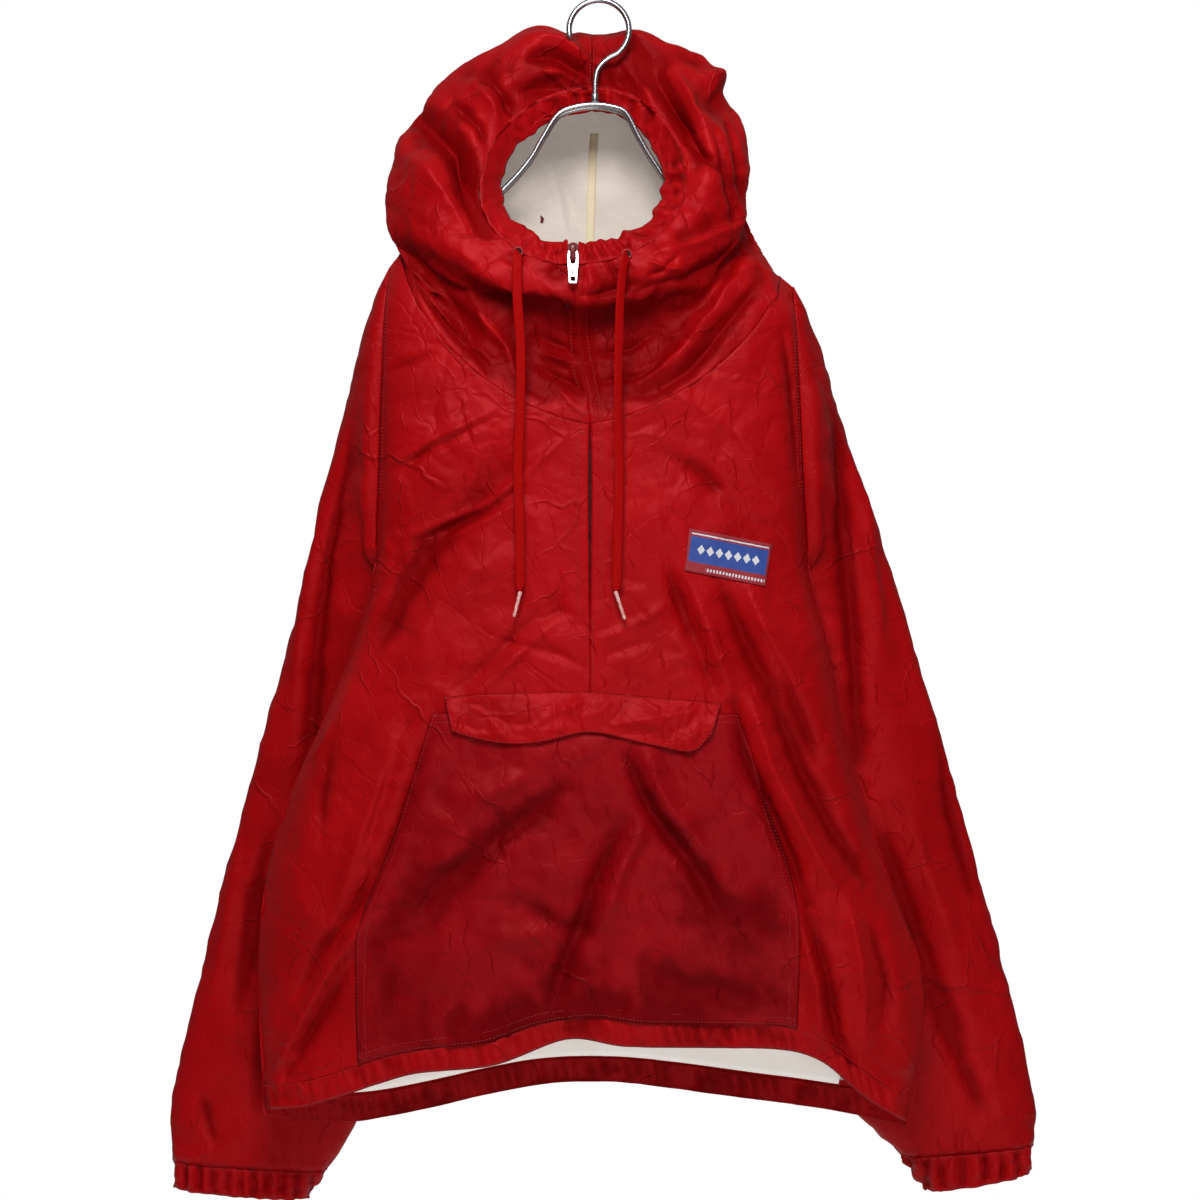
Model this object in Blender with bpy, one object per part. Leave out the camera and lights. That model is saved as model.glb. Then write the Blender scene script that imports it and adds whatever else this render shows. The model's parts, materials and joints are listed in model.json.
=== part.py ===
"""A half-zip hooded windbreaker pullover hung on a chrome wire hanger.

X runs to the viewer's right, the garment's front faces -Y, and Z is up. The origin is the inside
top of the hanger's hook, where a rail holds it. All sizes in this file are in millimetres, and
the meshes are scaled to metres when they are made. Each cloth piece is a thin closed wall: a grid
of points on its outer side, worked out from the tables below, and the same points moved inwards.
"""

import math

import bpy
import bmesh
import numpy as np
from mathutils import Vector
from mathutils.bvhtree import BVHTree

MM = 0.001

# Driving dimensions
WALL = 1.2               # cloth with its lining
GAP = 0.3                # between pieces that are sewn together
SEAM = GAP / 2
CENTRE_X = -7.4          # the front's centre seam and the zip
ARMHOLE_HALF_DEPTH = 16.0
UNDERARM_Z = -480.0
SIDE_SEAM_Y = -10.0
SHOULDER_ROUNDING = 32.0  # how far below the shoulder line the cloth reaches its full depth
HEM_HEIGHT = 20.0        # the casing along each lower edge
HEM_WALL = 2.4
ZIP_END_Z = -521.0
LINING_WALL = 1.0
HOOD_LINING_GAP = 3.0    # between the hood's shell and its lining
BACK_LINING_GAP = 1.0
BACK_LINING_LIFT = 2.5   # how far above the hem's casing it ends
CASING_WALL = 2.2
CASING_GATHER = 1.3      # height of the gathers in the hood's casing
HEM_GATHER = 0.6
CUFF_WALL = 2.0
CUFF_GATHER = 0.9
ROD_RADIUS = 2.2
HOOK_RADIUS = 25.5       # centre line of the hook's ring
HOOK_WIRE_RADIUS = 2.4

# Side edges of the body: height, left x, right x
BODY_SIDES = (
    (-205, -177, 163),
    (-226, -179, 164),
    (-242, -180, 165),
    (-308, -183, 168),
    (-406, -186, 172),
    (-480, -190, 178),
    (-520, -200, 186),
    (-557, -211, 198),
    (-600, -229, 204),
    (-640, -247, 214),
    (-682, -268, 226),
    (-745, -283, 245),
    (-790, -288, 265),
    (-838, -288, 278),
    (-874, -287, 277),
    (-905, -285, 267),
    (-955, -283, 259),
)

# Middle of the front and of the back: height, front y, back y
BODY_DEPTHS = (
    (-205, -34, 16),
    (-260, -42, 20),
    (-330, -50, 22),
    (-420, -54, 23),
    (-520, -58, 23),
    (-620, -66, 22),
    (-720, -64, 21),
    (-820, -58, 21),
    (-900, -54, 23),
    (-960, -52, 24),
)

# Lower edge of the front: x, height
FRONT_HEM = (
    (-290, -937),
    (-242, -930),
    (-200, -915),
    (-157, -900),
    (-84, -894),
    (-56, -881),
    (-30, -870),
    (-14, -867),
    (0, -876),
    (40, -878),
    (149, -879),
    (188, -888),
    (205, -909),
    (228, -927),
    (262, -948),
)

# Lower edge of the back: x, height
BACK_HEM = (
    (-290, -942),
    (-250, -950),
    (-207, -953),
    (-150, -943),
    (-88, -929),
    (-38, -920),
    (18, -920),
    (121, -933),
    (199, -942),
    (262, -953),
)

# Rings of the hood, from the face opening outwards, over the roll and the crown, and down the
# back to the neck seam. The half gap is that of the zip's slit.
HOOD_COLUMNS = (
    "left right top middle tilt bottom y_top y_side y_bottom crown_x zip_x half_gap squareness"
).split()
HOOD_RINGS = (
    (-82, 55, -88, -160, 3, -212, 14, -15, -50, -6, -21.5, 5.5, 2.0),
    (-100, 74, -70, -160, 4, -230, 8, -32, -58, -6, -21.5, 4.2, 2.0),
    (-124, 92, -50, -160, 6, -248, 8, -38, -61, -6, -21.5, 1.2, 2.0),
    (-156, 112, -28, -160, 8, -264, 15, -28, -58, -6, -19.5, 0.5, 2.0),
    (-181, 128, -12, -162, 10, -277, 32, -2, -46, -6, -17.5, 0.4, 2.1),
    (-181, 127, -18, -165, 10, -290, 58, 9, -40, -6, -16.5, 0.4, 2.1),
    (-172, 123, -48, -172, 4, -304, 78, 24, -42, -6, -15.5, 0.4, 2.0),
    (-168, 127, -100, -184, 0, -322, 82, 26, -46, -6, -11.0, 0.4, 1.9),
    (-168, 140, -168, -203, -5, -342, 62, 11, -50, -6, -8.5, 0.4, 1.5),
    (-169, 154, -240, -223, -9.5, -361, 20, 0, -53, -6, -7.4, 0.5, 1.6),
)
HOOD_STEPS = 14          # columns of each half, from the crown seam to the zip

# Large folds of the hood: ring, angle from the crown, width in rings, width in degrees, height
HOOD_FOLDS = (
    (4.0, 42, 0.9, 9, 13),
    (3.6, 62, 0.9, 9, -8),
    (4.0, 0, 1.4, 12, -7),
    (2.6, 26, 0.7, 22, -7),
    (2.4, 78, 0.8, 16, 6),
    (2.8, 118, 0.7, 22, -6),
    (3.6, 140, 0.8, 14, 6),
    (2.6, -30, 0.7, 20, 7),
    (3.2, -58, 1.2, 8, -8),
    (2.4, -84, 0.9, 14, 6),
    (3.0, -112, 0.8, 16, 5),
    (7.4, 128, 1.0, 12, 5),
    (7.4, -128, 1.0, 12, 5),
    (6.0, -30, 1.2, 14, 6),
    (6.4, 34, 1.2, 14, 6),
)

# Rows of the sleeves below the armhole: outer x, outer z, inner x, inner z, middle y, half depth
LEFT_SLEEVE = (
    (-190, -243, -197, -481, 5, 24),
    (-201, -275, -201, -490, 13, 28),
    (-214, -325, -199, -505, 24, 29),
    (-230, -385, -193, -528, 33, 29),
    (-246, -450, -184, -560, 41, 28),
    (-261, -512, -176, -602, 46, 26),
    (-279, -572, -170, -648, 50, 24),
    (-296, -632, -167, -698, 53, 23),
    (-312, -690, -167, -748, 55, 22),
    (-330, -753, -171, -798, 57, 22),
    (-346, -822, -178, -848, 59, 22),
    (-361, -880, -188, -897, 60, 23),
    (-373, -925, -199, -940, 61, 23),
    (-377, -958, -211, -966, 61, 22),
    (-373, -996, -236, -1004, 60, 19),
)
RIGHT_SLEEVE = (
    (177, -257, 185, -481, 5, 24),
    (190, -286, 189, -490, 13, 28),
    (204, -336, 188, -505, 24, 29),
    (222, -393, 184, -528, 33, 29),
    (244, -452, 178, -560, 41, 28),
    (264, -512, 172, -602, 46, 26),
    (283, -572, 168, -648, 50, 24),
    (301, -633, 166, -698, 53, 23),
    (318, -692, 168, -748, 55, 22),
    (337, -757, 173, -798, 57, 22),
    (354, -822, 181, -848, 59, 22),
    (368, -880, 193, -897, 60, 23),
    (379, -925, 208, -938, 61, 23),
    (384, -956, 227, -960, 61, 22),
    (379, -982, 264, -992, 60, 19),
)
LEFT_CUFF_END = (-372, -1020, -252, -1030, 60, 20)
RIGHT_CUFF_END = (374, -1008, 284, -1023, 60, 20)
SLEEVE_STEPS = 16        # points round a sleeve
SLEEVE_FLATNESS = 0.86   # 1 makes a ring an ellipse, and less makes it squarer

# Large folds of a sleeve: row, angle round it from the outer edge (front is 90), widths, height
LEFT_SLEEVE_FOLDS = (
    (6.0, 62, 4.0, 14, -7),
    (9.5, 118, 2.5, 14, -6),
    (11.0, 60, 2.2, 12, 6),
    (12.5, 96, 1.4, 12, -6),
    (9.0, 250, 3.0, 16, -6),
    (5.0, 290, 2.5, 16, 5),
)
RIGHT_SLEEVE_FOLDS = (
    (6.0, 44, 4.5, 13, -7),
    (10.0, 70, 2.0, 12, 6),
    (12.0, 100, 1.6, 12, -7),
    (10.5, 128, 1.4, 12, -5),
    (9.0, 255, 3.0, 16, -6),
    (5.0, 285, 2.5, 16, 5),
)

# Large folds of the body: start x z, end x z, half width, height (negative is a trough)
FRONT_FOLDS = (
    (-190, -470, -60, -380, 15, -4.0),
    (-200, -560, -95, -430, 17, -5.0),
    (-215, -600, -150, -520, 13, 4.0),
    (-262, -720, -175, -560, 16, -5.5),
    (-272, -850, -200, -640, 17, 6.0),
    (-268, -930, -215, -770, 13, -6.0),
    (176, -520, 120, -430, 14, -4.0),
    (196, -640, 120, -520, 16, 4.5),
    (226, -780, 140, -560, 17, -6.5),
    (252, -860, 178, -680, 14, 7.0),
    (246, -930, 222, -790, 10, -7.0),
    (206, -900, 182, -770, 11, 6.0),
    (188, -905, 172, -790, 8, -6.0),
)
BACK_FOLDS = (
    (-170, -300, -60, -420, 16, -4.0),
    (160, -300, 50, -430, 16, -4.0),
    (-120, -520, -60, -900, 22, 5.0),
    (20, -480, 10, -900, 20, -5.0),
    (110, -560, 130, -900, 20, 5.0),
    (-200, -640, -190, -900, 16, -4.0),
)

# Outline of the belly pocket: height, left x, right x
POCKET_EDGES = (
    (-601, -138, 115),
    (-653, -154, 132),
    (-702, -169, 148),
    (-746, -187, 164),
    (-772, -202, 167),
    (-815, -203, 166),
    (-850, -201, 165),
)
# The flap over the pocket: x, top height, bottom height
FLAP_EDGES = (
    (-128, -588, -616),
    (-110, -586, -621),
    (-70, -584, -628),
    (-35, -583, -622),
    (-8, -583, -615),
    (16, -585, -621),
    (47, -588, -628),
    (74, -590, -633),
    (92, -592, -632),
    (103, -593, -618),
)
FLAP_ROWS = (0.0, 0.3, 0.65, 1.0)    # down the flap
FLAP_LIFTS = (1.6, 6.6, 8.4, 8.0)    # in front of the cloth, at each of those rows
POCKET_LIFT = 0.7        # between the pocket and the cloth at its edges
POCKET_SWELL = 2.6       # and how much more in its middle
PATCH_LIFT = 1.7
PATCH_WALL = 1.0
PATCH_CORNERS = ((75, -448), (145, -461), (138.5, -496), (71, -483))

# Routes of the cord's two free ends
LEFT_CORD = (
    (-67.0, -55.7, -219.3),
    (-67.1, -60.0, -220.6),
    (-67.3, -64.5, -225.5),
    (-67.6, -67.5, -236.0),
    (-67.2, -68.0, -260.0),
    (-65.0, -65.5, -292.0),
    (-64.6, -63.5, -326.0),
    (-65.6, -63.0, -360.0),
    (-66.9, -63.5, -402.0),
    (-65.4, -65.0, -449.0),
    (-65.2, -66.5, -502.0),
)
RIGHT_CORD = (
    (23.0, -56.7, -221.3),
    (22.6, -61.0, -222.6),
    (21.6, -65.5, -227.5),
    (19.4, -68.0, -238.0),
    (17.4, -68.5, -262.0),
    (16.5, -66.0, -292.0),
    (15.8, -64.5, -326.0),
    (16.2, -64.0, -360.0),
    (16.6, -64.5, -402.0),
    (15.7, -66.0, -449.0),
    (14.2, -68.0, -502.0),
)
LEFT_TIP_END = (-70.1, -67.0, -521.5)
RIGHT_TIP_END = (21.4, -68.5, -523.5)
LEFT_EYELET = (-67.0, -56.0, -219.0)
RIGHT_EYELET = (23.0, -57.0, -221.0)
EYELET_RADIUS = 3.6
EYELET_THREAD_RADIUS = 0.9
CORD_RADIUS = 2.0
TIP_RADIUS = 1.9
TIP_CLEAR = 0.9          # between the cord's end and its tip, on their centre lines

# The wire of the hanger, from the middle of its bridge out to one end: x, height
HANGER_ARM = (
    (-3.4, -87.0),
    (-24.0, -90.0),
    (-36.0, -97.0),
    (-48.0, -116.0),
    (-60.0, -136.0),
    (-83.0, -161.0),
    (-118.0, -189.0),
    (-160.0, -216.0),
)
HANGER_ARM_RIGHT = (
    (17.0, -90.5),
    (25.0, -97.0),
    (32.0, -111.0),
    (42.0, -129.0),
    (53.0, -146.0),
    (66.0, -168.0),
    (84.0, -196.0),
    (106.0, -222.0),
    (146.0, -239.0),
)
# Centre line of the hook's stem, from above the ferrule to the ring
HOOK_STEM = ((-3.0, 0, -66.0), (-1.4, 0, -58.0), (3.0, 0, -51.5), (10.0, 0, -46.0))
FERRULE_RADIUS = 3.6
FERRULE_HEIGHT = 7.0
ROD_HALF_SPACING = 4.2
ROD_END_HALF_SPACING = 3.0
BACK_ROD_DROP = 1.0
ROD_FORWARD = 3.0        # how far the ends of the arms lie in front of the bridge


def smooth_rows(rows, places):
    """Catmull-Rom curve through a table's rows, read at fractional row numbers."""
    values = np.array(rows, float)
    padded = np.vstack([2 * values[0] - values[1], values, 2 * values[-1] - values[-2]])
    result = []
    for place in places:
        low = min(int(place), len(values) - 2)
        part = place - low
        before, start, end, after = padded[low : low + 4]
        result.append(
            start
            + 0.5 * part * (end - before)
            + part**2 * (before - 2.5 * start + 2 * end - 0.5 * after)
            + part**3 * (1.5 * (start - end) + 0.5 * (after - before))
        )
    return np.array(result)


def along(rows, at, column):
    """A table's column at a place, where the first column falls or rises from row to row."""
    values = np.array(rows, float)
    if values[0, 0] > values[-1, 0]:
        values = values[::-1]
    return np.interp(at, values[:, 0], values[:, column])


def signed_power(value, power):
    return np.sign(value) * np.abs(value) ** power


def fold_height(folds, x, z):
    """Sum of soft ridges and troughs, each along a line, fading towards its ends."""
    total = np.zeros_like(x, dtype=float)
    for x0, z0, x1, z1, half_width, height in folds:
        length = math.hypot(x1 - x0, z1 - z0)
        run = ((x - x0) * (x1 - x0) + (z - z0) * (z1 - z0)) / length
        side = ((x - x0) * (z1 - z0) - (z - z0) * (x1 - x0)) / length
        fade = np.clip(1 - np.abs(run / length - 0.5) ** 2 * 3.2, 0, 1)
        total += height * fade * np.exp(-((side / half_width) ** 2))
    return total


def shoulder_z(x):
    """Height of the shoulder line, level between the two neck corners."""
    return np.interp(x, (-179, -169, 154, 165), (-226, -214, -233, -242))


def armhole_depth(z):
    """Half depth of the body at its side edge: the armhole, and nothing below it."""
    top = -230.0
    middle = (top + UNDERARM_Z) / 2
    reach = np.abs((z - middle) / (top - middle))
    return ARMHOLE_HALF_DEPTH * np.clip(1 - reach**2.4, 0, 1) ** (1 / 2.4)


def body_surface(x, z, front):
    """y of the body's outer side at x and z."""
    x = np.asarray(x, float)
    z = np.asarray(z, float)
    left = along(BODY_SIDES, z, 1)
    right = along(BODY_SIDES, z, 2)
    reach = np.where(x < CENTRE_X, (CENTRE_X - x) / (CENTRE_X - left), (x - CENTRE_X) / (right - CENTRE_X))
    reach = np.clip(reach, 0, 1)
    below = np.clip((UNDERARM_Z + 8 - z) / 34, 0, 1)
    side = -armhole_depth(z) if front else armhole_depth(z)
    side = side + SIDE_SEAM_Y * below * below * (3 - 2 * below)
    middle = along(BODY_DEPTHS, z, 1 if front else 2)
    power = 2.6 if front else 2.0
    bulge = (1 - reach**power) ** (1 / power)
    down = np.clip((shoulder_z(x) - z) / SHOULDER_ROUNDING, 0, 1)
    rise = np.sqrt(1 - (1 - down) ** 2)
    folds = fold_height(FRONT_FOLDS if front else BACK_FOLDS, x, z)
    folds = folds * np.clip((1 - reach) * 9, 0, 1)
    return rise * (side + (middle - side) * bulge) - (folds if front else -folds)


def body_normals(grid, front, side_columns):
    """Outward unit normals of a body panel, level along X in its side columns."""
    step = 2.0
    x, z = grid[..., 0], grid[..., 2]
    slope_x = (body_surface(x + step, z, front) - body_surface(x - step, z, front)) / (2 * step)
    slope_z = (body_surface(x, z + step, front) - body_surface(x, z - step, front)) / (2 * step)
    normals = np.stack([slope_x, -np.ones_like(x), slope_z], axis=-1)
    if not front:
        normals = -normals
    normals[..., 2] = np.clip(normals[..., 2], -0.8, 0.8)
    for column in side_columns:
        normals[:, column] = (math.copysign(1, grid[-1, column, 0]), 0, 0)
    return normals / np.linalg.norm(normals, axis=-1, keepdims=True)


def unit(vectors):
    return vectors / np.maximum(np.linalg.norm(vectors, axis=-1, keepdims=True), 1e-9)


def grid_normals(grid, closed):
    """Unit normals of a grid of points, each the mean of the cells round it."""
    if closed:
        grid = np.concatenate([grid, grid[:, :1]], axis=1)
    falling = grid[1:, 1:] - grid[:-1, :-1]
    rising = grid[:-1, 1:] - grid[1:, :-1]
    cells = unit(np.cross(rising, falling))
    total = np.zeros_like(grid)
    for down in (0, 1):
        for across in (0, 1):
            total[down : down + len(cells), across : across + cells.shape[1]] += cells
    if closed:
        total[:, 0] += total[:, -1]
        total = total[:, :-1]
    return unit(total)


def finish(name, colour, roughness, metallic=0.0):
    """A Principled material."""
    material = bpy.data.materials.new(name)
    material.use_nodes = True
    shader = material.node_tree.nodes["Principled BSDF"]
    shader.inputs["Base Color"].default_value = (*colour, 1)
    shader.inputs["Roughness"].default_value = roughness
    shader.inputs["Metallic"].default_value = metallic
    return material


def add_mesh(name, points, faces, material):
    """An object from points in millimetres, with its faces turned outwards."""
    mesh = bpy.data.meshes.new(name)
    mesh.from_pydata([tuple(point) for point in np.asarray(points) * MM], [], faces)
    built = bmesh.new()
    built.from_mesh(mesh)
    bmesh.ops.recalc_face_normals(built, faces=built.faces)
    if built.calc_volume(signed=True) < 0:
        bmesh.ops.reverse_faces(built, faces=built.faces)
    built.to_mesh(mesh)
    built.free()
    mesh.shade_smooth()
    mesh.set_sharp_from_angle(angle=math.radians(50))
    mesh.materials.append(material)
    made = bpy.data.objects.new(name, mesh)
    bpy.context.scene.collection.objects.link(made)
    return made


def cloth_wall(name, outer, normals, material, wall=WALL, closed=False):
    """A thin closed wall: the outer grid, the same grid moved inwards, and the edges between."""
    rows, columns = outer.shape[:2]
    inner = outer - normals * wall
    count = rows * columns
    faces = []
    last = columns if closed else columns - 1
    for row in range(rows - 1):
        for column in range(last):
            a = row * columns + column
            b = row * columns + (column + 1) % columns
            c, d = b + columns, a + columns
            faces += [(a, b, c), (a, c, d)]
            faces += [(a + count, c + count, b + count), (a + count, d + count, c + count)]
    for row in (0, rows - 1):
        for column in range(last):
            a = row * columns + column
            b = row * columns + (column + 1) % columns
            faces += [(a, b, b + count), (a, b + count, a + count)]
    if not closed:
        for column in (0, columns - 1):
            for row in range(rows - 1):
                a = row * columns + column
                d = a + columns
                faces += [(a, d, d + count), (a, d + count, a + count)]
    return add_mesh(name, np.concatenate([outer.reshape(-1, 3), inner.reshape(-1, 3)]), faces, material)


def tube(name, points, radius, material, cyclic=False, sides=2):
    """A round wire or cord along points, as a curve with filled caps."""
    curve = bpy.data.curves.new(name, "CURVE")
    curve.dimensions = "3D"
    curve.bevel_depth = radius * MM
    curve.bevel_resolution = sides
    curve.use_fill_caps = not cyclic
    spline = curve.splines.new("POLY")
    spline.points.add(len(points) - 1)
    for spot, point in zip(spline.points, points):
        spot.co = (*(Vector(point) * MM), 1)
    spline.use_cyclic_u = cyclic
    curve.materials.append(material)
    made = bpy.data.objects.new(name, curve)
    bpy.context.scene.collection.objects.link(made)
    return made


def hood_ring(place):
    """One ring of the hood as columns of the table, at a fractional ring number."""
    row = smooth_rows(HOOD_RINGS, [place])[0]
    return dict(zip(HOOD_COLUMNS, row))


def neck_points(angles, front):
    """Points of the neck seam on the body, where the hood is sewn on."""
    points = hood_points(len(HOOD_RINGS) - 1, angles)
    points[:, 1] = body_surface(points[:, 0], points[:, 2], front)
    return points


def hood_points(place, angles):
    """Points of one ring at angles in degrees: 0 at the crown, 180 at the zip, + to the right."""
    ring = hood_ring(place)
    turn = np.radians(np.asarray(angles, float))
    power = 2 / ring["squareness"]
    side = signed_power(np.sin(turn), power)
    rise = signed_power(np.cos(turn), power)
    up, low = np.clip(rise, 0, 1), np.clip(-rise, 0, 1)
    middle_x = (ring["left"] + ring["right"]) / 2
    x = middle_x + side * (ring["right"] - ring["left"]) / 2
    x = x + (ring["crown_x"] - middle_x) * np.clip(np.cos(turn), 0, 1) ** 3
    x = x + (ring["zip_x"] - middle_x) * np.clip(-np.cos(turn), 0, 1) ** 3
    z = ring["middle"] + ring["tilt"] * side
    z = z + up * (ring["top"] - z) + low * (ring["bottom"] - z)
    # Near the neck seam the sides come forward sooner, onto the front of the shoulders.
    forward = low ** np.interp(place, (3, 8), (1.1, 0.3))
    y = ring["y_side"] + up**1.3 * (ring["y_top"] - ring["y_side"])
    y = y + forward * (ring["y_bottom"] - ring["y_side"])
    return np.stack([x, y, z], axis=-1)


def hood_grid(places, angles):
    """Outer side of the hood over rings and angles, with its large folds."""
    grid = np.stack([hood_points(place, angles) for place in places])
    turn = np.asarray(angles, float)
    normals = math.copysign(1, turn[-1] - turn[0]) * grid_normals(grid, False)
    normals[:, (0, -1), 0] = 0
    for fold_ring, fold_angle, ring_width, angle_width, height in HOOD_FOLDS:
        near = np.exp(-((turn - fold_angle) / angle_width) ** 2)
        lift = np.exp(-((np.asarray(places) - fold_ring) / ring_width) ** 2)
        grid = grid + height * (lift[:, None] * near[None, :])[..., None] * normals
    return grid


def open_slit(grid, places, column, direction):
    """Moves the zip edge's column aside by the slit's half gap."""
    for row, place in enumerate(places):
        grid[row, column, 0] += direction * hood_ring(place)["half_gap"]
    return grid


HOOD_PLACES = (1.0, 1.6, 2.2, 2.8, 3.4, 4.0, 4.5, 5.0, 5.8, 6.6, 7.6, 8.4, 9.0)


def hood_half(direction):
    """Grid of one half of the hood, from its casing to the neck seam, its normals, and the seam's.

    The hood and the body panels end at the neck seam in one mitre, so the last row's normals lie
    half-way between the two walls' own, and are longer where the walls meet at an angle.
    """
    angles = direction * np.linspace(0, 180, HOOD_STEPS + 1)
    grid = hood_grid(HOOD_PLACES, angles)
    front = np.abs(angles) >= 90
    grid[-1, front] = neck_points(angles[front], True)
    grid[-1, ~front] = neck_points(angles[~front], False)
    normals = direction * grid_normals(grid, False)
    for column in (0, -1):
        normals[:, column, 0] = 0
    normals = unit(normals)

    seam = grid[-1]
    body = np.where(
        front[:, None],
        body_normals(seam[None], True, ())[0],
        body_normals(seam[None], False, ())[0],
    )
    corner = (np.abs(np.abs(angles) - 90) < 1).astype(float)[:, None]
    body = unit(body * (1 - corner) + np.array((direction * 0.77, 0, 0.64)) * corner)
    mitre = unit(normals[-1] + body)
    mitre = mitre / np.clip((mitre * body).sum(axis=-1, keepdims=True), 0.6, 1)
    normals[-1] = mitre
    return grid, normals, mitre


def build_hood(red):
    for name, direction in (("hood_left", -1), ("hood_right", 1)):
        grid, normals = hood_half(direction)[:2]
        grid[:, 0, 0] += direction * SEAM
        grid = open_slit(grid, HOOD_PLACES, -1, direction)
        grid[-1, :, 2] += 2.4 * GAP
        cloth_wall(name, grid, normals, red)


def build_casing(red):
    """The drawcord channel round the face opening, in gathers."""
    places = (0.0, 0.5, 0.955)
    angles = np.linspace(-180, 180, 3 * HOOD_STEPS + 1)
    grid = hood_grid(places, angles)
    normals = grid_normals(grid, False)
    gather = CASING_GATHER * np.cos(np.arange(len(angles)) * math.pi)
    grid = grid + gather[None, :, None] * normals
    open_slit(grid, places, 0, -1)
    open_slit(grid, places, -1, 1)
    cloth_wall("hood_casing", grid, normals, red, wall=CASING_WALL)


def build_hood_lining(cream):
    """Lining on the inside of the hood's back, which shows through the face opening."""
    rows = slice(6, 12)
    side = HOOD_STEPS // 2 - 1
    left, left_normals = hood_half(-1)[:2]
    right, right_normals = hood_half(1)[:2]
    left_columns = slice(side - 1, 0, -1)
    grid = np.concatenate([left[rows, left_columns], right[rows, :side]], axis=1)
    normals = np.concatenate([left_normals[rows, left_columns], right_normals[rows, :side]], axis=1)
    grid = grid - normals * (WALL + HOOD_LINING_GAP)
    cloth_wall("hood_lining", grid, normals, cream, wall=LINING_WALL)


FRONT_REACH = (0, 0.15, 0.3, 0.45, 0.6, 0.74, 0.86, 0.95, 1.0)
# Rows of the body below the neck seam: height at the centre, height at both sides
BODY_ROWS = (
    (-395, -448),
    (-430, -480),
    (-460, -510),
    (-500, -545),
    (-540, -582),
    (-580, -622),
    (-622, -664),
    (-664, -706),
    (-706, -748),
    (-748, -790),
    (-785, -832),
    (-820, -876),
    (-847, -917),
)
NECK_SIDE_END = -420.0   # height at the armhole of the row that ends the neck seam
# Half gap between the two front panels: height, half gap
FRONT_SLIT = ((-361, 0.5), (-385, 1.7), (-440, 1.4), (-500, 0.8), (-515, SEAM), (-960, SEAM))


def front_panel(name, direction, red):
    """One front panel: rows run from the neck seam or the centre out to the armhole or side."""
    side = 1 if direction < 0 else 2
    neck = neck_points(direction * np.linspace(90, 180, HOOD_STEPS // 2 + 1), True)
    outer_z = side_heights(direction)
    inner_x = list(neck[:, 0]) + [CENTRE_X] * len(BODY_ROWS)
    inner_z = list(neck[:, 2]) + [row[0] for row in BODY_ROWS]
    rows = []
    for row, (x0, z0, z1) in enumerate(zip(inner_x, inner_z, outer_z)):
        reach = np.array(FRONT_REACH)
        x = x0 + (along(BODY_SIDES, z1, side) - x0) * reach
        z = z0 + (z1 - z0) * reach
        # The last rows bend to follow the hem.
        bend = np.clip((row - len(neck) - 4) / (len(inner_x) - len(neck) - 5), 0, 1) ** 2
        z = z + bend * (along(FRONT_HEM, x, 1) + HEM_HEIGHT + GAP - z)
        z[-1] = z1
        x[-1] = along(BODY_SIDES, z1, side)
        if row >= len(neck) - 1:
            x[0] = CENTRE_X + direction * along(FRONT_SLIT, z[0], 1)
        rows.append(np.stack([x, body_surface(x, z, True) - SEAM, z], axis=-1))
    grid = np.stack(rows)
    normals = body_normals(grid, True, (-1,))
    normals[: len(neck), 0] = hood_half(direction)[2][HOOD_STEPS // 2 :]
    normals[0, 1:] = (0, 0, 1)
    cloth_wall(name, grid, normals, red)
    return grid


def side_heights(direction):
    """Heights at which the rows of front and back meet one side edge, from the shoulder down."""
    neck_rows = np.linspace(shoulder_z(direction * 400), NECK_SIDE_END, HOOD_STEPS // 2 + 1)
    return list(neck_rows) + [row[1] for row in BODY_ROWS]


def back_grid():
    """The back's outer points: columns start at the neck seam's points, rows end at the side seams."""
    neck = neck_points(np.linspace(-90, 90, HOOD_STEPS + 1), False)
    left_z, right_z = side_heights(-1), side_heights(1)
    left_x, right_x = along(BODY_SIDES, left_z[0], 1), along(BODY_SIDES, right_z[0], 2)
    top_x = np.concatenate([[left_x], neck[:, 0], [right_x]])
    top_z = np.concatenate([[left_z[0]], neck[:, 2], [right_z[0]]])
    spread = np.linspace(-1, 1, len(top_x))
    spread = signed_power(spread, 0.86)
    bottom_z = along(BACK_HEM, CENTRE_X + spread * 275, 1) + HEM_HEIGHT + GAP
    rows = []
    for row, (left, right) in enumerate(zip(left_z, right_z)):
        part = row / (len(left_z) - 1)
        edge = np.where(spread < 0, left, right)
        edge_part = (np.where(spread < 0, left_z[0], right_z[0]) - edge) / 690
        middle = top_z + (bottom_z - top_z) * (0.5 * part + 0.5 * edge_part)
        z = middle + (edge - middle) * spread**6
        if row == len(left_z) - 1:
            z = bottom_z + (edge - bottom_z) * spread**12
        left_x, right_x = along(BODY_SIDES, z, 1), along(BODY_SIDES, z, 2)
        x_even = CENTRE_X + spread * np.where(spread < 0, CENTRE_X - left_x, right_x - CENTRE_X)
        settle = min(part * 3, 1)
        x = top_x + (x_even - top_x) * settle
        x[0], x[-1] = left_x[0], right_x[-1]
        if row == 0:
            z = top_z.copy()
        rows.append(np.stack([x, body_surface(x, z, False) + SEAM, z], axis=-1))
    grid = np.stack(rows)
    normals = body_normals(grid, False, (0, -1))
    half = HOOD_STEPS // 2
    normals[0, 1:-1] = np.concatenate([hood_half(-1)[2][half:0:-1], hood_half(1)[2][: half + 1]])
    normals[0, 0] = normals[0, -1] = (0, 0, 1)
    return grid, normals


def back_panel(red):
    grid, normals = back_grid()
    cloth_wall("back_panel", grid, normals, red)
    return grid


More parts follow.
